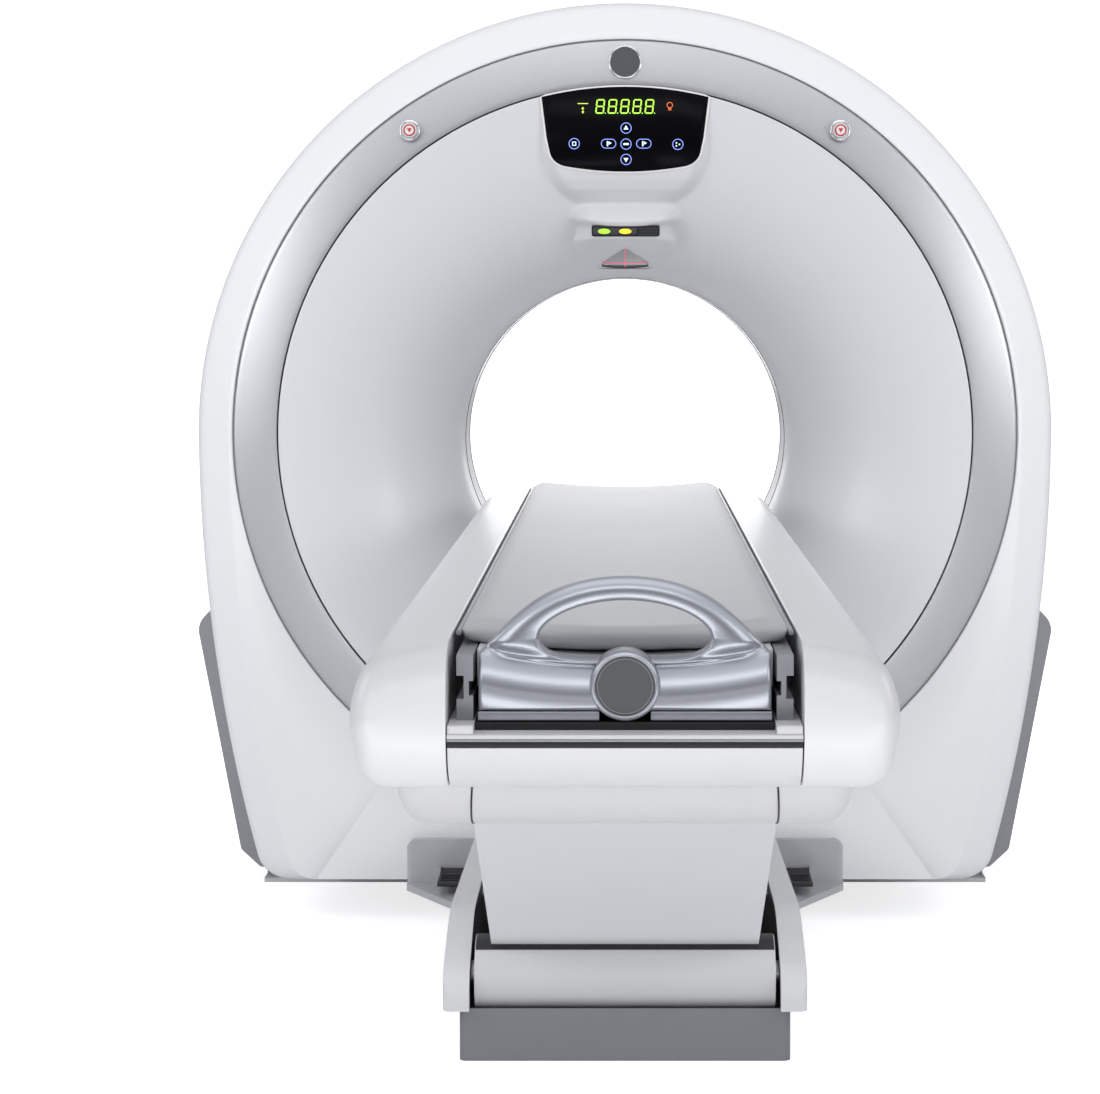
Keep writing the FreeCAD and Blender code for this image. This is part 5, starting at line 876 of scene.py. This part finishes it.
def build_casing():
    """Casing under the table: z = foot + rise (1 - sqrt(1 - s^2)), s 0 at the nose and 1 in front; then its seams."""
    front, nose, rear = -2.560, -2.300, -1.290
    y = np.concatenate([nose - (nose - front) * np.cos(quarter(30)), np.linspace(nose, rear, 12)[1:]])
    low = 0.652 + 0.1045 * arc_drop((nose - y) / (nose - front))
    half = 0.270 + 0.012 * smooth_step((y - nose) / 0.30) - 0.050 * arc_drop((front + 0.050 - y) / 0.050)
    top = 0.7568
    depth = top - low
    a = quarter(10)
    r = np.minimum(0.030, depth * 0.8)[:, None]
    corner_x = half[:, None] - r * (1 - np.cos(a))[None, :]
    corner_z = low[:, None] + r * (1 - np.sin(a))[None, :]
    floor_x = (half[:, None] - r) * np.linspace(1.0, -1.0, 12)[1:-1][None, :]
    floor_z = np.broadcast_to(low[:, None], floor_x.shape)
    rim_z = np.full((len(y), 1), top)
    x = np.concatenate([half[:, None], corner_x, floor_x, -corner_x[:, ::-1], -half[:, None]], 1)
    z = np.concatenate([rim_z, corner_z, floor_z, corner_z[:, ::-1], rim_z], 1)
    grid = points(x, y[:, None], z)[:, ::-1]
    skin = sheet("lower_casing_skin", grid, 0.005, False, *TABLE_PANEL)

    def open_below(work):
        """Leaves room for the leg and the link."""
        middles = [(face, face.calc_center_median()) for face in work.faces]
        below = [face for face, middle in middles if middle.y > -2.240 and abs(middle.x) < 0.238]
        bmesh.ops.delete(work, geom=below, context="FACES")

    edited(skin, open_below)
    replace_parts(skin, "lower_casing")
    y, low, depth = y[2:27], low[2:27], depth[2:27]
    seam_x = 0.187 - 0.010 * (1 - depth / depth.max())
    ahead_y, ahead_z = np.gradient(y), np.gradient(low)
    normal = np.stack([ahead_z, -ahead_y]) / np.hypot(ahead_y, ahead_z)
    normal *= -np.sign(normal[1] + normal[0] * 0.5)
    shape = ((-0.0011, -0.001), (-0.0011, 0.0008), (0.0011, 0.0008), (0.0011, -0.001))
    for side, hand in SIDES:
        rings = [points(side * seam_x + dx, y + normal[0] * out, low + normal[1] * out) for dx, out in shape]
        closed_loft("casing_seam_" + hand, np.stack(rings, 1), *TABLE_BLACK)


def build_drum_shade():
    """Dark arc on the drum under the leg's foot, from 51 to 110 degrees above the front."""
    a = np.radians(np.linspace(51.0, 110.0, 20))
    arc = np.concatenate([points(-1.205 - r * np.cos(turn), 0.138 + r * np.sin(turn))
                          for r, turn in ((0.0665, a), (0.0640, a[::-1]))])
    across("drum_shade", arc, -0.2585, 0.2585, 0.0, "leg", "dark_plastic", TRIM_BLACK)


# ---- push handle ----

GRIP = (0.0, 0.934)
HANDLE_FRONT, HANDLE_BACK = -2.700, -2.656
ARCH_HALF, GRIP_HALF = 0.1615, 0.097
EDGE_ROWS = 8


def handle_edges(angles):
    """Outer edge (arch over a block) and inner edge (lens-shaped grip) as radii about the grip's centre."""
    x = np.linspace(-ARCH_HALF, ARCH_HALF, 81)
    part = (x / ARCH_HALF) ** 2
    arch = points(x, 0.9120 + 0.0845 * np.clip(1 - part, 0, 1) ** (0.66 + 0.36 * part))
    corners = np.concatenate([arch, [(0.1630, 0.8492), (-0.1630, 0.8492)]])
    s = np.linspace(0.0, 1.0, 120, endpoint=False)[:, None]
    outer = np.concatenate([a * (1 - s) + b * s for a, b in zip(corners, np.roll(corners, -1, 0))])
    x = np.linspace(-GRIP_HALF, GRIP_HALF, 61)
    part = np.abs(x) / GRIP_HALF
    top = points(x, 0.9285 + 0.0425 * np.sqrt(np.clip(1 - part ** 2, 0, 1)) ** 1.15)
    low = points(x[::-1], 0.9285 - 0.0240 * np.clip(1 - part ** 4.5, 0, 1) ** 0.5)
    inner = np.concatenate([top, low[1:-1]])
    return ray_outline(outer, GRIP, angles), ray_outline(inner, GRIP, angles)


def handle_depth(x, z, share):
    """Depth behind the foremost plane: a convex arch, a hollow line, and the block bulging below it."""
    side = np.abs(x)
    arch = 0.011 + 0.013 * np.clip((share - 0.42) / 0.58, 0, 1) ** 2.2
    arch += 0.003 * np.clip((0.42 - share) / 0.42, 0, 1) ** 2
    below = 0.8985 + 0.016 * np.clip(side / 0.163, 0, 1) ** 2.5 - z
    arch += 0.008 * np.exp(-((below + 0.004) / 0.007) ** 2) * smooth_step((side - 0.06) / 0.06)
    block = 0.020 * np.clip(1 - below / 0.034, 0, 1) ** 2.0 + 0.004 * np.clip((below - 0.040) / 0.022, 0, 1) ** 2
    mix = smooth_step((below + 0.003) / 0.006)
    return arch * (1 - mix) + block * mix


def build_handle():
    """Sculpted handle: sheet between the grip's edge and the outer edge, both edges rounded, flat behind."""
    angles = full_turn(720)
    outer, inner = handle_edges(angles)
    a = quarter(EDGE_ROWS)[:, None]
    inner_edge, outer_edge = 0.0045, 0.0065
    rows_in = inner + inner_edge * (1 - np.cos(a))
    rows_out = outer - outer_edge * (1 - np.cos(a[::-1]))
    share = np.linspace(0.0, 1.0, 46)[1:-1][:, None]
    radius = np.concatenate([rows_in, rows_in[-1] + (rows_out[0] - rows_in[-1]) * share, rows_out])
    depth = handle_depth(GRIP[0] + radius * np.cos(angles), GRIP[1] + radius * np.sin(angles),
                         (radius - inner) / (outer - inner))
    depth[:EDGE_ROWS] += inner_edge * (1 - np.sin(a))
    depth[-EDGE_ROWS:] += outer_edge * (1 - np.sin(a[::-1]))
    y = np.concatenate([HANDLE_FRONT + depth, np.full((2, len(angles)), HANDLE_BACK)])
    radius = np.concatenate([radius, radius[-1:], radius[:1]])
    grid = points(GRIP[0] + radius * np.cos(angles), y, GRIP[1] + radius * np.sin(angles))
    silver = ("cradle", "handle_silver", HANDLE_SILVER)
    skin = new_piece("push_handle_skin", grid, grid_faces(*radius.shape, True, True), *silver)
    sharpen(outward(skin), 60)
    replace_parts(skin, "push_handle")
    middle = (0.0, 0.8775)
    boss = [(0.0330, -2.690), (0.0330, -2.7012), (0.0336, -2.7022), (0.0348, -2.7028), (0.0356, -2.7025),
            (0.0366, -2.7020), (0.0378, -2.7012), (0.0388, -2.6996), (0.0393, -2.6972), (0.0396, -2.690),
            (0.0396, -2.666), (0.0320, -2.666)]
    turned("handle_boss", boss, middle, 96, *silver)
    disc = [(0.0002, -2.7010), (0.0100, -2.7010), (0.0200, -2.7009), (0.0328, -2.7006), (0.0328, -2.690),
            (0.0002, -2.690)]
    badge = sharpen(turned("handle_disc", disc, middle, 96, "cradle", "chrome_trim", DISC_GREY))
    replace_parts(badge, "handle_badge")
    line = [(0.0300, -2.7000), (0.0300, -2.7012), (0.0304, -2.7014), (0.0308, -2.7012), (0.0308, -2.7000)]
    turned("handle_disc_line", line, middle, 96, "cradle", "chrome_trim", RAIL_GREY)
    # Small hole in the handle's block, drawn as a flat black dot: painted shade of the hole's inside.
    hole_shade = [(0.0001, -2.7002), (0.0013, -2.7002), (0.0013, -2.694), (0.0001, -2.694)]
    turned("handle_hole_shade", hole_shade, (0.0, 0.8425), 16, "cradle", "dark_plastic", TRIM_BLACK)


# ---- mattress ----

def build_mattress():
    """Hollowed section z = mid + sag (x / half)^2 with half-round edges, carried from foot to head, then puffed."""
    y0, y1 = -2.611, -0.339
    half, thick, sag = 0.1905, 0.0205, 0.0135
    x = half * np.sin(np.linspace(-math.pi / 2, math.pi / 2, 70))
    x = np.concatenate([x, x[::-1][1:-1]])
    upper = np.where(np.arange(len(x)) < 70, 1.0, -1.0)
    bulge = 1.0 - arc_drop(1.0 - (half - np.abs(x)) / (thick * 0.62))
    middle = 0.9145 + sag * (x / half) ** 2
    mid_y, depth = (y0 + y1) / 2, (y1 - y0) / 2
    y = mid_y + depth * np.sin(np.linspace(-math.pi / 2, math.pi / 2, 120))
    share = np.maximum(1.0 - arc_drop(1.0 - (depth - np.abs(y - mid_y)) / 0.016), 0.08)[:, None]
    x = x * (1 - 0.006 * (1 - share))
    z = middle + upper * thick / 2 * bulge * share
    rings = points(x, y[:, None], z)
    pad = closed_loft("mattress", rings, "cradle", "pad_skin", PAD_CLOTH)
    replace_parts(pad, "table_pad")
    puff(pad, 0.004)


def puff(pad, cap):
    """Remeshes the pad, blows it up a little as cloth, and applies the result with its travel capped."""
    scene = bpy.context.scene
    bpy.context.view_layer.objects.active = pad
    pad.data.remesh_voxel_size = 0.006
    with bpy.context.temp_override(active_object=pad, object=pad, selected_objects=[pad]):
        bpy.ops.object.voxel_remesh()
    before = np.zeros(len(pad.data.vertices) * 3)
    pad.data.vertices.foreach_get("co", before)
    cloth = pad.modifiers.new("puff", "CLOTH")
    cloth.settings.use_pressure = True
    cloth.settings.uniform_pressure_force = 4.0
    cloth.settings.effector_weights.gravity = 0.0
    cloth.settings.quality = 3
    cloth.point_cache.frame_end = 20
    for number in range(1, 21):
        scene.frame_set(number)
    evaluated = pad.evaluated_get(bpy.context.evaluated_depsgraph_get())
    after = np.zeros(len(before))
    evaluated.data.vertices.foreach_get("co", after)
    pad.modifiers.remove(cloth)
    scene.frame_set(1)
    move = (after - before).reshape(-1, 3)
    length = np.linalg.norm(move, axis=1)[:, None]
    move *= np.minimum(1.0, cap / np.maximum(length, 1e-9))
    pad.data.vertices.foreach_set("co", (before.reshape(-1, 3) + move).ravel())
    pad.data.polygons.foreach_set("use_smooth", [True] * len(pad.data.polygons))
    smooth = pad.modifiers.new("smooth", "SMOOTH")
    smooth.factor = 0.5
    smooth.iterations = 6
    pad.data.update()


def build_pad_piping():
    """Seam piping along the mattress's long edges, rounded off at the foot."""
    a = full_turn(16)
    r = np.array([0.0018, 0.0031, 0.0033, 0.0033])[:, None]
    y = np.array([-2.6150, -2.6146, -2.606, -0.345])[:, None]
    for side, hand in SIDES:
        rings = points(side * 0.1895 + r * np.cos(a), y, 0.9255 + r * np.sin(a))
        closed_loft("pad_piping_" + hand, rings, "cradle", "pad_skin", RAIL_GREY)


build_side_covers()
build_table_end()
build_casing()
build_drum_shade()
build_handle()
build_mattress()
build_pad_piping()


# ---- floor, light and camera ----

def ray_switch(tree, ray, seen, other):
    """Value `seen` for rays of one kind and `other` for all the rest."""
    return add_node(tree, "Mix", {0: add_node(tree, "LightPath", {}, ray), 2: other, 3: seen})


def ramp_value(tree, coordinates, axis, low, high, at_low, at_high):
    """Straight ramp from at_low to at_high while one coordinate goes from low to high."""
    place = add_node(tree, "SeparateXYZ", {0: add_node(tree, "TexCoord", {}, coordinates)}, axis)
    ends = {"From Min": low, "From Max": high, "To Min": at_low, "To Max": at_high, "Value": place}
    return add_node(tree, "MapRange", ends, "Result")


def studio():
    """Pale floor that turns up into a backdrop: y runs back, then z rises along a quarter circle."""
    rows, columns = 60, 12
    flat, bend, wall = 14.0, 3.0, 9.0
    s = np.linspace(0.0, 1.0, rows)
    turn = np.clip((s - 0.6) / 0.25, 0.0, 1.0) * math.pi / 2
    y = -8.0 + flat * np.clip(s / 0.6, 0, 1) + bend * np.sin(turn)
    z = bend * (1 - np.cos(turn)) + wall * np.clip((s - 0.85) / 0.15, 0, 1)
    x = np.linspace(-14.0, 14.0, columns)
    grid = points(x[None, :], y[:, None], z[:, None])
    mesh = bpy.data.meshes.new("studio_floor")
    mesh.from_pydata(grid.reshape(-1, 3).tolist(), [], grid_faces(rows, columns, False, False).tolist())
    mesh.polygons.foreach_set("use_smooth", [True] * len(mesh.polygons))
    floor = bpy.data.objects.new("studio_floor", mesh)
    bpy.context.scene.collection.objects.link(floor)
    material = bpy.data.materials.new("studio_white")
    material.use_nodes = True
    tree = material.node_tree
    principled = tree.nodes["Principled BSDF"].inputs
    principled["Base Color"].default_value = (0.78, 0.78, 0.79, 1)
    principled["Roughness"].default_value = 0.95
    principled["Emission Color"].default_value = (1, 1, 1, 1)
    glow = ramp_value(tree, "Object", "Y", -3.2, 3.5, 0.42, 1.0)
    tree.links.new(ray_switch(tree, "Is Camera Ray", glow, 0.0), principled["Emission Strength"])
    mesh.materials.append(material)


def world_light(strength, horizon, zenith, backdrop):
    """Even sky for lighting; mirrors see it dark at the horizon and bright overhead, the camera sees a backdrop."""
    world = bpy.data.worlds.new("studio_world")
    world.use_nodes = True
    tree = world.node_tree
    background = tree.nodes["Background"].inputs
    background["Color"].default_value = (0.94, 0.955, 1.0, 1)
    sky = ramp_value(tree, "Generated", "Z", 0.02, 0.75, horizon, zenith)
    light = ray_switch(tree, "Is Glossy Ray", sky, strength)
    tree.links.new(ray_switch(tree, "Is Camera Ray", backdrop, light), background["Strength"])
    bpy.context.scene.world = world


def area_lamp(name, place, target, size, watts):
    data = bpy.data.lights.new(name, "AREA")
    data.shape = "RECTANGLE"
    data.size, data.size_y = size
    data.energy = watts
    lamp = bpy.data.objects.new(name, data)
    bpy.context.scene.collection.objects.link(lamp)
    lamp.location = place
    lamp.rotation_euler = (Vector(target) - Vector(place)).to_track_quat("-Z", "Y").to_euler()


def photo_camera():
    """Camera at the photograph's place: level with the gantry's middle, a little pitched down."""
    data = bpy.data.cameras.new("photo_camera")
    data.lens = 78.41
    data.sensor_width = 36.0
    data.shift_x = -0.0682
    data.shift_y = -0.0545
    camera = bpy.data.objects.new("photo_camera", data)
    bpy.context.scene.collection.objects.link(camera)
    camera.location = (0.0, -5.326, 1.2904)
    camera.rotation_euler = (math.pi / 2 - 0.0730, 0.0, 0.0)
    bpy.context.scene.camera = camera


studio()
world_light(0.50, 0.06, 1.1, 1.08)
area_lamp("key_left", (-3.8, -4.8, 3.1), (0, -0.4, 1.1), (2.2, 2.2), 43)
area_lamp("key_right", (3.9, -4.7, 2.8), (0, -0.4, 1.1), (2.2, 2.2), 37)
area_lamp("front_top", (0.0, -6.2, 4.6), (0, -0.4, 1.4), (4.0, 1.6), 47)
area_lamp("top", (0.0, -1.2, 4.6), (0, -0.9, 0.8), (4.0, 3.0), 26)
area_lamp("throat", (0.0, 2.6, 1.9), (0, 0.0, 1.1), (2.4, 2.0), 40)
area_lamp("throat_left", (-1.7, -1.7, 1.5), (0.36, -0.15, 0.92), (0.7, 0.7), 8)
area_lamp("throat_right", (1.7, -1.7, 1.5), (-0.36, -0.15, 0.92), (0.7, 0.7), 8)
area_lamp("front_low", (0.0, -3.6, 0.30), (0, -1.3, 0.42), (3.0, 0.4), 12)
photo_camera()
bpy.context.scene.view_settings.view_transform = "Standard"
